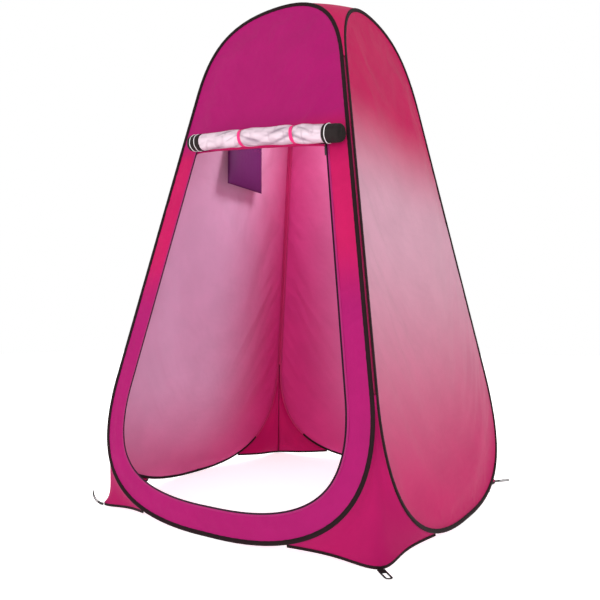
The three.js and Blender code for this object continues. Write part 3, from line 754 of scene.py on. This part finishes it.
def settle(obj, held):
    """Lets a cloth that is a little too large for its frame settle, held at some of its points."""
    scene = bpy.context.scene
    group = obj.vertex_groups.new(name="held")
    group.add([int(i) for i in held], 1.0, "REPLACE")
    cloth = obj.modifiers.new("settle", "CLOTH")
    cloth.settings.vertex_group_mass = "held"
    cloth.settings.quality = 6
    cloth.settings.mass = CLOTH_MASS
    cloth.settings.tension_stiffness = CLOTH_STIFFNESS
    cloth.settings.compression_stiffness = CLOTH_STIFFNESS
    cloth.settings.shear_stiffness = CLOTH_STIFFNESS / 2
    cloth.settings.bending_stiffness = CLOTH_BENDING
    cloth.settings.air_damping = AIR_DAMPING
    cloth.settings.shrink_min = -LOOSENESS
    cloth.settings.effector_weights.gravity = SETTLE_GRAVITY
    cloth.collision_settings.use_collision = False
    cloth.point_cache.frame_start, cloth.point_cache.frame_end = 1, SETTLE_FRAMES
    for number in range(1, SETTLE_FRAMES + 1):
        scene.frame_set(number)
    apply_modifiers(obj)
    obj.vertex_groups.clear()
    scene.frame_set(1)


def noise_field(points, scale, seed=0.0):
    """Smooth noise from -1 to 1, as a sum of a few waves in fixed directions."""
    total = np.zeros(len(points))
    for k in range(7):
        turn = seed + 2.399963 * k
        way = np.array([math.cos(turn), math.sin(turn)])
        total += np.sin(points @ way * scale * (0.7 + 0.13 * k) + 1.7 * k + 3 * seed)
    return total / 4


# ---- Hoops: wire, sleeve and panel ----

def binding_section():
    """Round over the wire, then a flat two-layer lip over the panel. x points out of the hoop, y inwards."""
    turns = np.linspace(-0.72 * math.pi, 0.72 * math.pi, 15)
    nose = np.stack([BINDING_OUT * np.cos(turns), BINDING_HALF * np.sin(turns)], 1)
    lip = [(-5.2 * MM, LIP_HALF * 0.95), (-8.8 * MM, LIP_HALF * 0.8), (-BINDING_IN, 0.9 * MM)]
    lower = [(x, -y) for x, y in reversed(lip)]
    return np.vstack([nose, lip, lower])


def make_binding(name):
    piece = Piece("binding", "sleeve", "thread")
    uv = resample(HOOP, 7 * MM, closed=True)
    matrix = wall_matrix(name)
    path = in_wall(name, uv)
    across = moved(np.insert(outwards(uv), 1, 0, axis=1), matrix) - matrix[:3, 3]
    up = np.tile(matrix[:3, 1], (len(uv), 1))
    along = np.arange(len(uv)) * 7 * MM
    turn = along * 2 * math.pi
    pucker = 1 + 0.035 * np.sin(turn / 0.031) * np.sin(turn / 0.173 + TURNS[name])
    section = binding_section()
    piece.tube(path, across, up, section, 0, closed=True, scale=pucker)
    inner = section[:, 1] + np.roll(section[:, 1], -1) > 1.6 * MM
    piece.recolour(np.outer(uv[:, 1] > BLACK_FOOT, inner).ravel(), 1)
    for side in (-1, 1):
        row = path + across * (-7.4 * MM) + up * side * LIP_HALF * 0.92
        closed_row = np.vstack([row, row[:1]])
        frame_across, frame_up = np.vstack([across, across[:1]]), np.vstack([up, up[:1]])
        piece.stitches(closed_row, frame_across, frame_up, 2)
    obj = piece.object(name + "_piping", solid=True)
    stand_for(obj, name, name + "_hoop_binding")


def panel_depth(uv, held_line):
    """How far a wall's cloth lies inwards before it settles: a shallow swell outwards, with soft ripples."""
    hold = 1 - np.exp(-((gap_to(uv, held_line) / 0.09) ** 2))
    ripple = 2.2 * MM * noise_field(uv * (1.0, 0.55), 11.0, 0.4)
    return (ripple - SWELL) * hold


def tape_points():
    """Where the pocket's tape is sewn to the left wall."""
    across = np.arange(-POCKET_WIDTH / 2, POCKET_WIDTH / 2, CELL / 2)
    rows = np.arange(0, HANGING_TAPE_WIDTH, CELL / 2)
    return np.array([(u, POCKET_TOP + v) for v in rows for u in across])


def make_panel(name):
    piece = Piece("front_outside" if name == "front" else "wall_outside", name + "_inside")
    outline = resample(offset(HOOP, -PANEL_EDGE_IN), CELL, closed=True)
    door = None
    if name == "front":
        door = resample(door_line(), CELL)
        door = door - outwards(door, False) * CLOTH_UNDER_TAPE
    uv, faces = fill(outline, door)
    held_line = outline if door is None else np.vstack([outline, door])
    if name == "left":
        held_line = np.vstack([held_line, tape_points()])
    piece.sheet(in_wall(name, uv, panel_depth(uv, held_line)), faces, uv)
    matrix = wall_matrix(name)
    obj = piece.object(name + "_wall_cloth", outside=-matrix[:3, 1])
    held = gap_to(uv, held_line) < CELL / 2
    if name == "left":
        held |= (np.abs(uv[:, 0]) < POCKET_WIDTH / 2 + CELL) & (np.abs(uv[:, 1] - POCKET_TOP + 0.11) < 0.14)
    settle(obj, np.nonzero(held)[0])
    subdivide(obj)
    thicken(obj, PANEL_THICK, other_side=True)
    stand_for(obj, name, name + "_wall_panel")
    flat_area(uv, faces)


# ---- Corners ----

BLEND_START, BLEND_END = 1 * MM, 32 * MM  # a stretch past a corner's tip, whose ends attach works out and uses no further

def mirrored(points):
    """The same points on the other side of the front right corner's plane."""
    return np.stack([-points[..., 1], -points[..., 0], points[..., 2]], -1)


def lower_edge(spacing=12 * MM):
    """Points beside the front hoop from the hip down to where the hem leaves it."""
    line = offset(HOOP, SEAM_OUT)
    part = line[(line[:, 1] < HIP_LOW) & (line[:, 0] > HEM_REACH)][::-1]
    return resample(part, spacing)


SHARES = np.linspace(0, 1, 15)  # across half a gusset, from the hoop to the corner line


def half_gusset():
    """Points of the front half of a bottom gusset, row by row from the hip down, out to the corner line."""
    edge_uv = lower_edge()
    edge = in_wall("front", edge_uv)
    top = in_wall("front", [(BASE_HALF - HIP_LOW * LEAN_SINE, HIP_LOW)])[0]
    tip = np.array([TIP_HALF, -TIP_HALF, HEM_HEIGHT])
    drop = ((edge[0, 2] - edge[:, 2]) / (edge[0, 2] - edge[-1, 2]))[:, None]
    corner = top + (tip - top) * drop
    rows = edge[:, None] + (corner - edge)[:, None] * SHARES[None, :, None]
    hang = np.sin(math.pi * SHARES) ** 2
    inward = unit(np.array([-1.0, 1.0, 0.0]))
    rows = rows + inward * (GUSSET_HANG * drop**1.5 * hang)[..., None]
    fold = np.sin(SHARES * 9 + 2 * drop) * SHARES * (1 - SHARES) * 4
    rows = rows + inward * (GUSSET_FOLD * drop * fold)[..., None]
    return rows


def gusset_points():
    """Both halves of a gusset as one grid, from the front hoop to the right hoop."""
    front = half_gusset()
    grid = np.concatenate([front, mirrored(front)[:, -2::-1]], axis=1)
    sharp = grid[:, len(SHARES) - 1:len(SHARES)].copy()
    for _ in range(GUSSET_SMOOTHING):
        around = (grid[:, :-2] + grid[:, 2:]) / 2
        grid[:, 1:-1] += (around - grid[:, 1:-1]) * 0.8
    columns = np.arange(grid.shape[1]) - (len(SHARES) - 1)
    peak = np.exp(-((columns / 4.5) ** 2))[None, :, None] * np.linspace(0, 1, len(grid))[:, None, None] ** 5
    return grid + (sharp - grid[:, len(SHARES) - 1:len(SHARES)]) * peak


def grid_lengths(points):
    """UVs for a grid of points: lengths down its middle column and across its widest row."""
    widest = np.linalg.norm(np.diff(points, axis=1), axis=2).sum(1).argmax()
    return lengths_along(points[:, points.shape[1] // 2]), lengths_along(points[widest])


def attach(obj, corner, half=None):
    """Rides a corner's piece on one wall; with no wall given, only bakes its place into its mesh."""
    if half is not None:
        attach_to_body(obj, half)
        return
    first, second = CORNERS[corner]
    diagonal = turned(np.array([[1.0, 1.0, 0.0]]) / math.sqrt(2), corner)[0]
    if corner == "left_front":
        first, second = second, first
        diagonal = -diagonal
    tip = turned(np.array([[TIP_HALF, -TIP_HALF, HIP_LOW / 2]]), corner)[0]
    start, end = tip + diagonal * BLEND_START, tip + diagonal * BLEND_END
    tuple(start)
    tuple(end)
    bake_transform(obj)


def corner_wires(corner, body):
    """The hoop wires that hold a corner's piece: both walls', or its own wall's where the seam is open."""
    return [wall + "_hoop_wire" for wall in (CORNERS[corner] if body is None else [body])]


def corner_parts(corner, grid):
    """A corner's grid in place, as one piece or as two halves where the seam is open."""
    middle = grid.shape[1] // 2
    halves = [("", None, slice(None))]
    if corner == "back_left":
        halves = [("_rear", "back", slice(0, middle + 1)), ("_side", "left", slice(middle, None))]
    for suffix, body, columns in halves:
        part = grid[:, columns]
        yield suffix, body, turned(part.reshape(-1, 3), corner).reshape(part.shape)


def make_gusset(corner):
    for suffix, body, part in corner_parts(corner, gusset_points()):
        piece = Piece("gusset")
        piece.grid(part, *grid_lengths(part))
        outside = turned(np.array([[1.0, -1.0, 0.2]]), corner)[0]
        obj = piece.object(f"gusset_cloth_{corner}{suffix}", outside=outside)
        thicken(obj, PANEL_THICK)
        tall = np.linalg.norm(np.diff(part[:, 0], axis=0), axis=1).sum()
        attach(obj, corner, body)
        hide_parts("gusset_" + corner)
        corner_wires(corner, body)


def round_section(radius, sides=8):
    turns = np.arange(sides) * 2 * math.pi / sides
    return np.stack([np.cos(turns), np.sin(turns)], 1) * radius


def spokes(turns, out, up):
    """Directions round a path: one row for each of its points, one column for each turn."""
    return np.cos(turns)[None, :, None] * out[:, None] + np.sin(turns)[None, :, None] * up[:, None]


def ribbon_section(width, thick, steps=4):
    """A flat tape's section with round edges: width along x, thick along y."""
    half, radius = width / 2 - thick / 2, thick / 2
    turns = np.linspace(-math.pi / 2, math.pi / 2, steps + 1)
    right = np.stack([half + radius * np.cos(turns), radius * np.sin(turns)], 1)
    flat = np.linspace(half, -half, 5)[1:-1]
    return np.vstack([right, np.stack([flat, np.full(3, radius)], 1), -right,
                      np.stack([-flat, np.full(3, -radius)], 1)])


def strip_frames(path, up_hint):
    """Axes for a tape along a path: across it, nearest to up_hint, and out of its face."""
    along = unit(np.gradient(path, axis=0))
    face = unit(np.cross(along, np.broadcast_to(up_hint, path.shape)))
    return unit(np.cross(face, along)), face


def make_hem(corner):
    for suffix, body, part in corner_parts(corner, gusset_points()):
        line = resample(part[-1] - (0, 0, HEM_HEIGHT / 2 - 0.2 * MM), 6 * MM)
        across, face = strip_frames(line, (0, 0, 1))
        piece = Piece("binding", "thread")
        piece.tube(line, across, face, ribbon_section(HEM_HEIGHT, 2 * MM))
        for side in (-1, 1):
            piece.stitches(line + across * 2.8 * MM + face * side * 1.0 * MM, across, face, 1)
        obj = piece.object(f"hem_{corner}{suffix}", solid=True)
        attach(obj, corner, body)
        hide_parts("gusset_hem_" + corner)


def make_seam_tape(corner):
    """The pink tape over the hip on the inside."""
    depth = BINDING_HALF + 1.3 * MM
    heights = np.linspace(HIP_HIGH, HIP_LOW, 60)
    shares = np.linspace(0, 1, 7)
    hip = BASE_HALF - heights * LEAN_SINE
    front = in_wall("front", np.stack([hip - SEAM_TAPE_WIDTH, heights], 1), depth)
    corner_line = in_wall("front", np.stack([hip - depth, heights], 1), depth)
    half = front[:, None] + (corner_line - front)[:, None] * shares[None, :, None]
    grid = np.concatenate([half, mirrored(half)[:, -2::-1]], axis=1)
    inward = turned(np.array([[-1.0, 1.0, 0.0]]) / math.sqrt(2), corner)[0]
    for suffix, body, part in corner_parts(corner, grid):
        piece = Piece("sleeve", "sleeve")
        piece.grid(part, *grid_lengths(part))
        obj = piece.object(f"seam_tape_cloth_{corner}{suffix}", outside=inward)
        thicken(obj, 0.7 * MM)
        attach(obj, corner, body)
        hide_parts("seam_tape_" + corner)
        cut_size(part)
        corner_wires(corner, body)


def make_corner_seam(corner):
    """The dark seam down the middle of the gusset, on the inside."""
    inward = turned(np.array([[-1.0, 1.0, 0.0]]) / math.sqrt(2), corner)[0]
    low = turned(gusset_points()[:, len(SHARES) - 1], corner)
    line = resample(low + inward * 4 * MM, 8 * MM)
    across, face = strip_frames(line, inward)
    seam = Piece("binding", "thread")
    seam.tube(line, across, face, ribbon_section(4 * MM, 2.2 * MM))
    obj = seam.object("corner_seam_" + corner, solid=True)
    attach(obj, corner, "left" if corner == "back_left" else None)


# ---- Roof ----

ROOF_DIP = 14 * MM  # how far the roof's middle sags
DIP_REACH = 0.22

def roof_half():
    """Front half of a roof corner: rows from the hip's upper end to the arch's top, to the corner plane."""
    line = offset(HOOP, SEAM_OUT)
    part = line[(line[:, 1] > HIP_HIGH) & (line[:, 0] > 1 * MM)]
    edge = in_wall("front", resample(np.vstack([part, [(0, WALL_LENGTH + SEAM_OUT)]]), 14 * MM))
    middle = (edge + mirrored(edge)) / 2
    rows = edge[:, None] + (middle - edge)[:, None] * SHARES[None, :, None]
    rise = np.linspace(0, 1, len(edge))[:, None]
    rows[..., 2] += 5 * MM * np.sin(math.pi * rise) * np.sin(SHARES * math.pi / 2)
    return rows


def make_roof():
    corner_half = roof_half()
    top = corner_half[-1]
    shares = np.linspace(0, 1, 13)[1:]
    centre = np.array([0, 0, top[0, 2]])
    crown = top[None] + (centre - top[None]) * shares[:, None, None]
    reach = np.linalg.norm(crown[..., :2], axis=-1)
    dip = np.clip(1 - reach / DIP_REACH, 0, 1)
    crown[..., 2] -= ROOF_DIP * dip**2 * (3 - 2 * dip)
    front = np.concatenate([corner_half, crown])
    both = np.concatenate([front, mirrored(front)[:, -2::-1]], axis=1)
    for corner in CORNERS:
        for suffix, body, part in corner_parts(corner, both):
            piece = Piece("roof")
            piece.grid(part, lengths_along(part[:, 0]), grid_lengths(part)[1])
            obj = piece.object(f"roof_cloth_{corner}{suffix}", outside=(0, 0, 1))
            merge_points(obj)
            thicken(obj, PANEL_THICK)
            attach(obj, corner, body)
            if corner == "front_right":
                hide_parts("roof_panel")
            wires = corner_wires(corner, body)
            cut_size(part)


# ---- Door ----

def door_frames(spacing):
    uv = door_line(spacing)
    matrix = wall_matrix("front")
    path = in_wall("front", uv)
    across = moved(np.insert(outwards(uv, False), 1, 0, axis=1), matrix) - matrix[:3, 3]
    return path, across, np.tile(matrix[:3, 1], (len(uv), 1))


def make_zip():
    path, across, up = door_frames(6 * MM)
    tape = Piece("zip_tape", "thread", "zip_coil")
    middle = path + across * (ZIP_OVERLAP - ZIP_WIDTH / 2) - up * 1.2 * MM
    section = ribbon_section(ZIP_WIDTH, 0.8 * MM)
    tape.tube(middle, across, up, section)
    tape.recolour(section[:, 0] + np.roll(section[:, 0], -1) < -2 * MM, 2)
    tape.stitches(middle + across * 3.6 * MM - up * 0.4 * MM, across, up, 1)
    obj = tape.object("zip_tape", solid=True)
    stand_for(obj, "front", "door_zip_tape")

    path, across, up = door_frames(0.75 * MM)
    coil = Piece("zip_coil")
    teeth = 1 - 0.22 * (np.arange(len(path)) % 3 == 0)
    centre = path - across * (ZIP_WIDTH - ZIP_OVERLAP - COIL_RADIUS) - up * 3.2 * MM
    coil.tube(centre, across, up, round_section(COIL_RADIUS), scale=teeth)
    obj = coil.object("zip_coil", solid=True)
    stand_for(obj, "front", "door_zip_coil")


def roll_path(low, high, steps):
    u = np.linspace(low, high, steps)
    return in_wall("front", np.stack([u, ROLL_HEIGHT + roll_rise(u)], 1), ROLL_DEPTH)


def roll_rise(u):
    """How far the roll's line lies above its height at the middle of the wall: it bows up, and slopes."""
    return ROLL_BOW * (1 - ((u - ROLL_MIDDLE) / (ROLL_HALF + ROLL_END)) ** 2) - u * TOP_SLOPE


def roll_frames(path):
    matrix = wall_matrix("front")
    along = unit(np.gradient(path, axis=0))
    out = np.broadcast_to(-matrix[:3, 1], path.shape)
    up = unit(np.cross(along, -out) * -1)
    up = np.where((up @ matrix[:3, 2])[:, None] < 0, -up, up)
    return out, up


def make_roll():
    """The rolled door: a satin bundle that the ties pinch, with the cloth's free edge down its front."""
    low, high = ROLL_MIDDLE - ROLL_HALF, ROLL_MIDDLE + ROLL_HALF
    path = roll_path(low, high, ROLL_STEPS)
    out, up = roll_frames(path)
    u = np.linspace(low, high, ROLL_STEPS)
    turns = np.linspace(0, 2 * math.pi, ROLL_SIDES, endpoint=False)
    pinch = sum(np.exp(-(((u - tie) / 0.016) ** 2)) for tie in TIE_PLACES)
    puff = sum(np.exp(-(((abs(u - tie) - 0.05) / 0.035) ** 2)) for tie in TIE_PLACES)
    radius = ROLL_RADIUS - PINCH * pinch[:, None] + 0.6 * MM * puff[:, None]
    grid_u, grid_turn = np.meshgrid(u, turns, indexing="ij")
    creases = roll_creases(grid_u, grid_turn)
    radius = radius + creases * (1 - 0.8 * pinch[:, None])
    points = path[:, None] + radius[..., None] * spokes(turns, out, up)
    piece = Piece("lining")
    around = np.linspace(0, 2 * math.pi, ROLL_SIDES + 1) * ROLL_RADIUS
    piece.grid(points, u, around, closed_cols=True, caps=True)
    obj = piece.object("rolled_door", solid=True)
    # painted shade for the lining: the crease attribute falls in the relief's hollows, where the lining's
    # colour greys
    shade = obj.data.color_attributes.new("crease", "FLOAT_COLOR", "POINT")
    value = np.clip(0.62 + creases.ravel() / (5 * MM), 0, 1)
    shade.data.foreach_set("color", np.repeat(value, 4))
    subdivide(obj)
    stand_for(obj, "front", "door_roll")


def crease(phase):
    """A relief with rounded swells and narrow valleys between them, from a phase in radians."""
    return np.abs(np.sin(phase / 2)) ** 0.7 - 0.6


def roll_creases(u, turn):
    """Relief of the rolled cloth: creases that fan out and cross near each tie, and long soft hollows."""
    relief = np.zeros_like(u)
    for index, tie in enumerate(TIE_PLACES):
        for lean in (-1, 1):
            reach = np.exp(-(((u - tie - lean * 42 * MM) / (55 * MM)) ** 2))
            relief += 3.0 * MM * reach * crease(5 * turn + lean * (u - tie) * 62 + 2.1 * index)
    relief += 1.3 * MM * np.sin(2 * turn + 9 * u + 0.5) * np.sin(19 * u + 1.0)
    relief += 1.6 * MM * crease(4 * turn - 38 * u + 1.0) * np.cos(13 * u + 2.0)
    relief += 0.3 * MM * np.sin(13 * turn + 71 * u) * np.sin(47 * u)
    return relief


def make_roll_end(side):
    """The dark wound tape at one end of the roll, its coil showing on the end face, and white piping."""
    name = "left" if side < 0 else "right"
    near, far = (ROLL_MIDDLE + side * reach for reach in (ROLL_HALF + 0.3 * MM, ROLL_HALF + ROLL_END))
    path = roll_path(near, far, END_STEPS)
    out, up = roll_frames(path)
    turns = np.linspace(0, 2 * math.pi, END_SIDES, endpoint=False)
    share = np.linspace(0, 1, END_STEPS)
    radius = (ROLL_RADIUS + 0.6 * MM) * (1 - 0.10 * np.clip((share - 0.86) / 0.14, 0, 1) ** 2)
    steps_down = 0.7 * MM * (share > 0.2) + 0.7 * MM * (share > 0.68)
    wobble = 0.5 * MM * np.sin(turns[None] * 3 + share[:, None] * 5) + 0.3 * MM * np.sin(turns[None] * 7)
    rings = radius[:, None] - steps_down[:, None] + wobble
    ways = spokes(turns, out, up)
    points = path[:, None] + rings[..., None] * ways
    face_radii = np.linspace(1, 0.04, 26)[1:]
    along = unit(path[-1] - path[-2])
    face = []
    for size in face_radii:
        spiral = np.sin(2 * math.pi * (size * 7) + turns)
        dip = 0.9 * MM * spiral * min(1, 4 * size) + 1.2 * MM * (1 - size)
        face.append(path[-1] + rings[-1][:, None] * size * ways[-1] - along * dip[:, None])
    points = np.concatenate([points, np.array(face)])
    lengths = np.concatenate([share * ROLL_END, ROLL_END + (1 - face_radii) * ROLL_RADIUS])
    piece = Piece("roll_end", "white_piping")
    around = np.linspace(0, 2 * math.pi, END_SIDES + 1) * ROLL_RADIUS
    piece.grid(points, lengths, around, closed_cols=True, caps=True)
    for place in (0.34, 0.68) if side < 0 else (0.2,):
        at = int(place * END_STEPS)
        ring = path[at] + (rings[at - 1][:, None] + 0.5 * MM) * ways[at]
        radial = unit(ring - path[at])
        piece.tube(ring, radial, np.broadcast_to(along, ring.shape), round_section(1.4 * MM), 1, closed=True)
    obj = piece.object("roll_end_" + name, solid=True)
    stand_for(obj, "front", "door_roll_end_" + name)


def make_tie(name, place):
    """A ribbon round the roll, pulled in where it crosses the front, with its sewn tab behind."""
    matrix = wall_matrix("front")
    centre = roll_path(place - 1 * MM, place + 1 * MM, 3)[1]
    out, up_way, along = -matrix[:3, 1], matrix[:3, 2], matrix[:3, 0]
    turns = np.linspace(0, 2 * math.pi, TIE_STEPS, endpoint=False)
    radius = ROLL_RADIUS - 0.6 * MM + 0.5 * MM * np.sin(turns * 5)
    ring = centre + radius[:, None] * (np.cos(turns)[:, None] * out + np.sin(turns)[:, None] * up_way)
    radial = unit(ring - centre)
    piece = Piece("tie", "pink_thread")
    section = ribbon_section(TIE_WIDTH, TAPE_THICK)
    piece.tube(ring, np.broadcast_to(along, ring.shape), radial, section, closed=True)
    for side in (-1, 1):
        row = ring + along * side * 5 * MM + radial * 0.6 * MM
        row, rise = np.vstack([row, row[:1]]), np.vstack([radial, radial[:1]])
        piece.stitches(row, np.tile(along, (TIE_STEPS + 1, 1)), rise, 1, radius=FINE_THREAD)
    sewn = in_wall("front", [(place, ROLL_HEIGHT + roll_rise(place) + 50 * MM)], -1.6 * MM)[0]
    behind = centre - out * (ROLL_RADIUS - 0.4 * MM) + up_way * 6 * MM
    share = np.linspace(0, 1, 20)[:, None]
    path = behind + (sewn - behind) * share - out * np.sin(share * math.pi) * 1.2 * MM
    across = np.tile(along, (20, 1))
    face = unit(np.cross(unit(np.gradient(path, axis=0)), across))
    piece.tube(path, across, face, section)
    obj = piece.object(f"tie_ribbon_{name}", solid=True)
    stand_for(obj, "front", "door_tie_" + name)


def make_top_seam():
    """The folded edge that the door is sewn to."""
    ends = door_line()
    u = np.linspace(ends[0][0], ends[-1][0], 90)
    piece = Piece("zip_tape", "thread", "binding")
    line = in_wall("front", np.stack([u, DOOR_TOP + 6 * MM - u * TOP_SLOPE], 1), -1.3 * MM)
    matrix = wall_matrix("front")
    across, up = np.tile(matrix[:3, 2], (90, 1)), np.tile(-matrix[:3, 1], (90, 1))
    piece.tube(line, across, up, ribbon_section(12 * MM, 0.9 * MM))
    for height in (-4 * MM, 4 * MM):
        piece.stitches(line + across * height + up * 0.45 * MM, across, up, 1)
    edge = line - across * 5.2 * MM
    piece.tube(edge, across, up, round_section(1.6 * MM), 2)
    obj = piece.object("door_hinge_seam", solid=True)
    stand_for(obj, "front", "door_top_seam")


def make_flap():
    """The door's cloth, going up from its seam into the roll."""
    low, high = ROLL_MIDDLE - ROLL_HALF + 12 * MM, ROLL_MIDDLE + ROLL_HALF - 12 * MM
    u = np.linspace(low, high, 80)
    rows = []
    for share in np.linspace(0, 1, 12):
        start, end = DOOR_TOP + 10 * MM - u * TOP_SLOPE, ROLL_HEIGHT - 8 * MM + roll_rise(u)
        wave = 2 * MM * np.sin(u * 90) * share * (1 - share)
        depth = -2.2 * MM - 11 * MM * share**1.5 + wave
        rows.append(in_wall("front", np.stack([u, start + (end - start) * share], 1), depth))
    flap = Piece("front_outside", "lining")
    grid = np.array(rows)
    flap.grid(grid, *grid_lengths(grid))
    obj = flap.object("door_flap", outside=-wall_matrix("front")[:3, 1])
    thicken(obj, 0.5 * MM, other_side=True)
    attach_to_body(obj, "front")


# ---- Pocket ----

POCKET_THICK = 0.8 * MM
BACK_GRID = (26, 28)  # rows and columns of the pocket's flat back
POUCH_GRID = (40, 44)


def make_pocket_back():
    """The pocket's flat cloth back, hanging from its tape across the left wall."""
    low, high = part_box("pocket_back")
    width, height = high.y - low.y, high.z - low.z
    x = (low.x + high.x) / 2
    rows, cols = BACK_GRID
    z = np.linspace(high.z, low.z, rows)
    y = np.linspace(low.y, high.y, cols)
    grid_z, grid_y = np.meshgrid(z, y, indexing="ij")
    ripple = 0.5 * MM * (1 + np.sin(grid_y * 60)) * (high.z - grid_z) / height
    back = Piece("pocket")
    points = np.stack([x + ripple, grid_y, grid_z], -1)
    back.grid(points, high.z - z, y - low.y)
    obj = back.object("pocket_back_cloth", outside=(1, 0, 0))
    thicken(obj, POCKET_THICK)
    stand_for(obj, "pocket", "pocket_back")


def make_pouch():
    """The fuller pouch on the pocket's back. Returns the line of its mouth."""
    low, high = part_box("pocket_pouch")
    rows, cols = POUCH_GRID
    down, over = np.linspace(0, 1, rows), np.linspace(-1, 1, cols)
    grid_d, grid_o = np.meshgrid(down, over, indexing="ij")
    side = (1 - np.abs(grid_o) ** 7)
    bottom = (1 - grid_d**9)
    belly = 0.55 + 0.45 * np.sin(grid_d * math.pi * 0.8 + 0.35)
    full = (high.x - low.x) * side * bottom * belly
    gather = 0.9 * MM * np.sin(grid_o * 34) * np.exp(-grid_d * 5) * side
    middle = (low.y + high.y) / 2
    points = np.stack([low.x + 0.6 * MM + np.maximum(full * 0.93 + gather, 0),
                       middle + grid_o * (high.y - low.y) / 2 * (1 - 0.012 * np.sin(grid_d * math.pi)),
                       high.z - grid_d * (high.z - low.z)], -1)
    pouch = Piece("pocket")
    pouch.grid(points, down * (high.z - low.z), over * (high.y - low.y) / 2)
    obj = pouch.object("pocket_pouch_cloth", outside=(1, 0, 0))
    thicken(obj, POCKET_THICK)
    stand_for(obj, "pocket", "pocket_pouch")
    cut_size(points)
    return points[0]


def make_mouth_hem(mouth):
    hem = Piece("pocket", "pink_thread")
    line = resample(mouth, 4 * MM) + (0.9 * MM, 0, -6 * MM)
    up = np.tile((0.0, 0.0, 1.0), (len(line), 1))
    face = unit(np.cross(unit(np.gradient(line, axis=0)), up))
    hem.tube(line, up, face, ribbon_section(14 * MM, 1.4 * MM))
    for height in (-4.5 * MM, 4.5 * MM):
        hem.stitches(line + up * height - face * 0.7 * MM, up, face, 1, radius=FINE_THREAD)
        hem.stitches(line + up * height + face * 0.7 * MM, up, face, 1, radius=FINE_THREAD)
    obj = hem.object("pocket_mouth_tape", solid=True)
    stand_for(obj, "pocket", "pocket_mouth_hem")


def make_hanging_tape():
    low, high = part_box("pocket_hanging_tape")
    tape = Piece("pocket", "pink_thread")
    y = np.linspace(low.y, high.y, 60)
    line = np.stack([np.full(60, (low.x + high.x) / 2), y, np.full(60, (low.z + high.z) / 2)], 1)
    matrix = wall_matrix("left")
    across, face = np.tile(matrix[:3, 2], (60, 1)), np.tile(matrix[:3, 1], (60, 1))
    tape.tube(line, across, face, ribbon_section(HANGING_TAPE_WIDTH, TAPE_THICK))
    for height in (-8 * MM, 8 * MM):
        tape.stitches(line + across * height + face * 0.6 * MM, across, face, 1, radius=FINE_THREAD)
    obj = tape.object("pocket_tape", solid=True)
    stand_for(obj, "left", "pocket_hanging_tape")


# ---- Peg loops ----

def make_peg_loop(corner):
    """Webbing sewn to the gusset's tip, folded into a loop; the front left one stands up from the ground."""
    reach, turns = TIP_HALF + 2 * MM, list(CORNERS).index(corner)
    place = (Matrix.Rotation(turns * math.pi / 2, 4, "Z") @ Matrix.Translation((reach, -reach, 0))
             @ Matrix.Rotation(-math.pi / 4, 4, "Z"))
    leg = LOOP_WIDTH / 2 - LOOP_BAND / 2
    straight = LOOP_LENGTH - LOOP_WIDTH / 2
    bow = np.linspace(-math.pi / 2, math.pi / 2, 17)
    arc = np.stack([straight + leg * np.cos(bow), leg * np.sin(bow)], 1)
    plan = np.vstack([[(0.5 * MM, -leg)], arc, [(0.5 * MM, leg)]])
    plan = resample(plan, 2.5 * MM)
    side = outwards(plan, False)

    def bent(flat, lift):
        """Points (along, across) of the flat loop, curled up from the ground by the loop's bend."""
        along = flat[:, 0]
        first, last = RAISED_BEND if corner == "left_front" else FLAT_BEND
        rate = (last - first) / LOOP_LENGTH
        angle = first + rate * along
        x = (np.sin(angle) - math.sin(first)) / rate
        z = (math.cos(first) - np.cos(angle)) / rate + LOOP_THICK / 2
        point = np.stack([x - lift * np.sin(angle), flat[:, 1], z + lift * np.cos(angle)], 1)
        return moved(point, place)

    piece = Piece("webbing", "thread")
    width, thick = ribbon_section(LOOP_BAND, LOOP_THICK).T
    points = np.stack([bent(plan + side * w, t) for w, t in zip(width, thick)], 1)
    around = np.arange(len(width) + 1) * 1.4 * MM
    piece.grid(points, lengths_along(plan), around, closed_cols=True, caps=True)
    along = np.linspace(0.2 * MM, LOOP_WIDTH, 12)
    pad_width, pad_thick = ribbon_section(LOOP_WIDTH - LOOP_BAND, LOOP_THICK * 0.9).T
    pad = np.stack([bent(np.stack([along, np.full(12, w)], 1), t) for w, t in zip(pad_width, pad_thick)], 1)
    piece.grid(pad, along, np.arange(len(pad_width) + 1) * 3 * MM, closed_cols=True, caps=True)
    box = np.array([(4, -6), (20, -6), (20, 6), (4, 6), (4, -6), (20, 6), (20, -6), (4, 6)]) * MM
    row = resample(box, 2 * MM)
    line = bent(row, LOOP_THICK / 2 * 0.95)
    above = bent(row, LOOP_THICK)
    up = unit(above - line)
    across = unit(np.cross(np.gradient(line, axis=0), up))
    piece.stitches(line, across, up, 1)
    obj = piece.object("webbing_" + corner, solid=True)
    stand_for(obj, "peg_loop_" + corner, "peg_loop_" + corner)


# ---- CAD nodes that stay ----

def finish_cad_nodes():
    """Wires, ferrules, slider and pull keep their own shape, with softened edges on the slider and pull."""
    for name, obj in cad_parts.items():
        if name.endswith(("_wire", "_ferrule")):
            material = MATERIALS["steel"]
        elif name in ("zip_slider", "zip_pull"):
            material = MATERIALS["paint"]
            bevel = obj.modifiers.new("soft edges", "BEVEL")
            bevel.width = 0.25 * MM
            bevel.segments = 2
        else:
            continue
        obj.data.materials.clear()
        obj.data.materials.append(material)


make_stage()
finish_cad_nodes()
for side in TURNS:
    make_binding(side)
    make_panel(side)
for corner in CORNERS:
    make_gusset(corner)
    make_hem(corner)
    make_seam_tape(corner)
    make_corner_seam(corner)
    make_peg_loop(corner)
make_roof()
make_zip()
make_top_seam()
make_flap()
make_roll()
for side in (-1, 1):
    make_roll_end(side)
make_tie("left", TIE_PLACES[0])
make_tie("right", TIE_PLACES[1])
make_pocket_back()
make_mouth_hem(make_pouch())
make_hanging_tape()
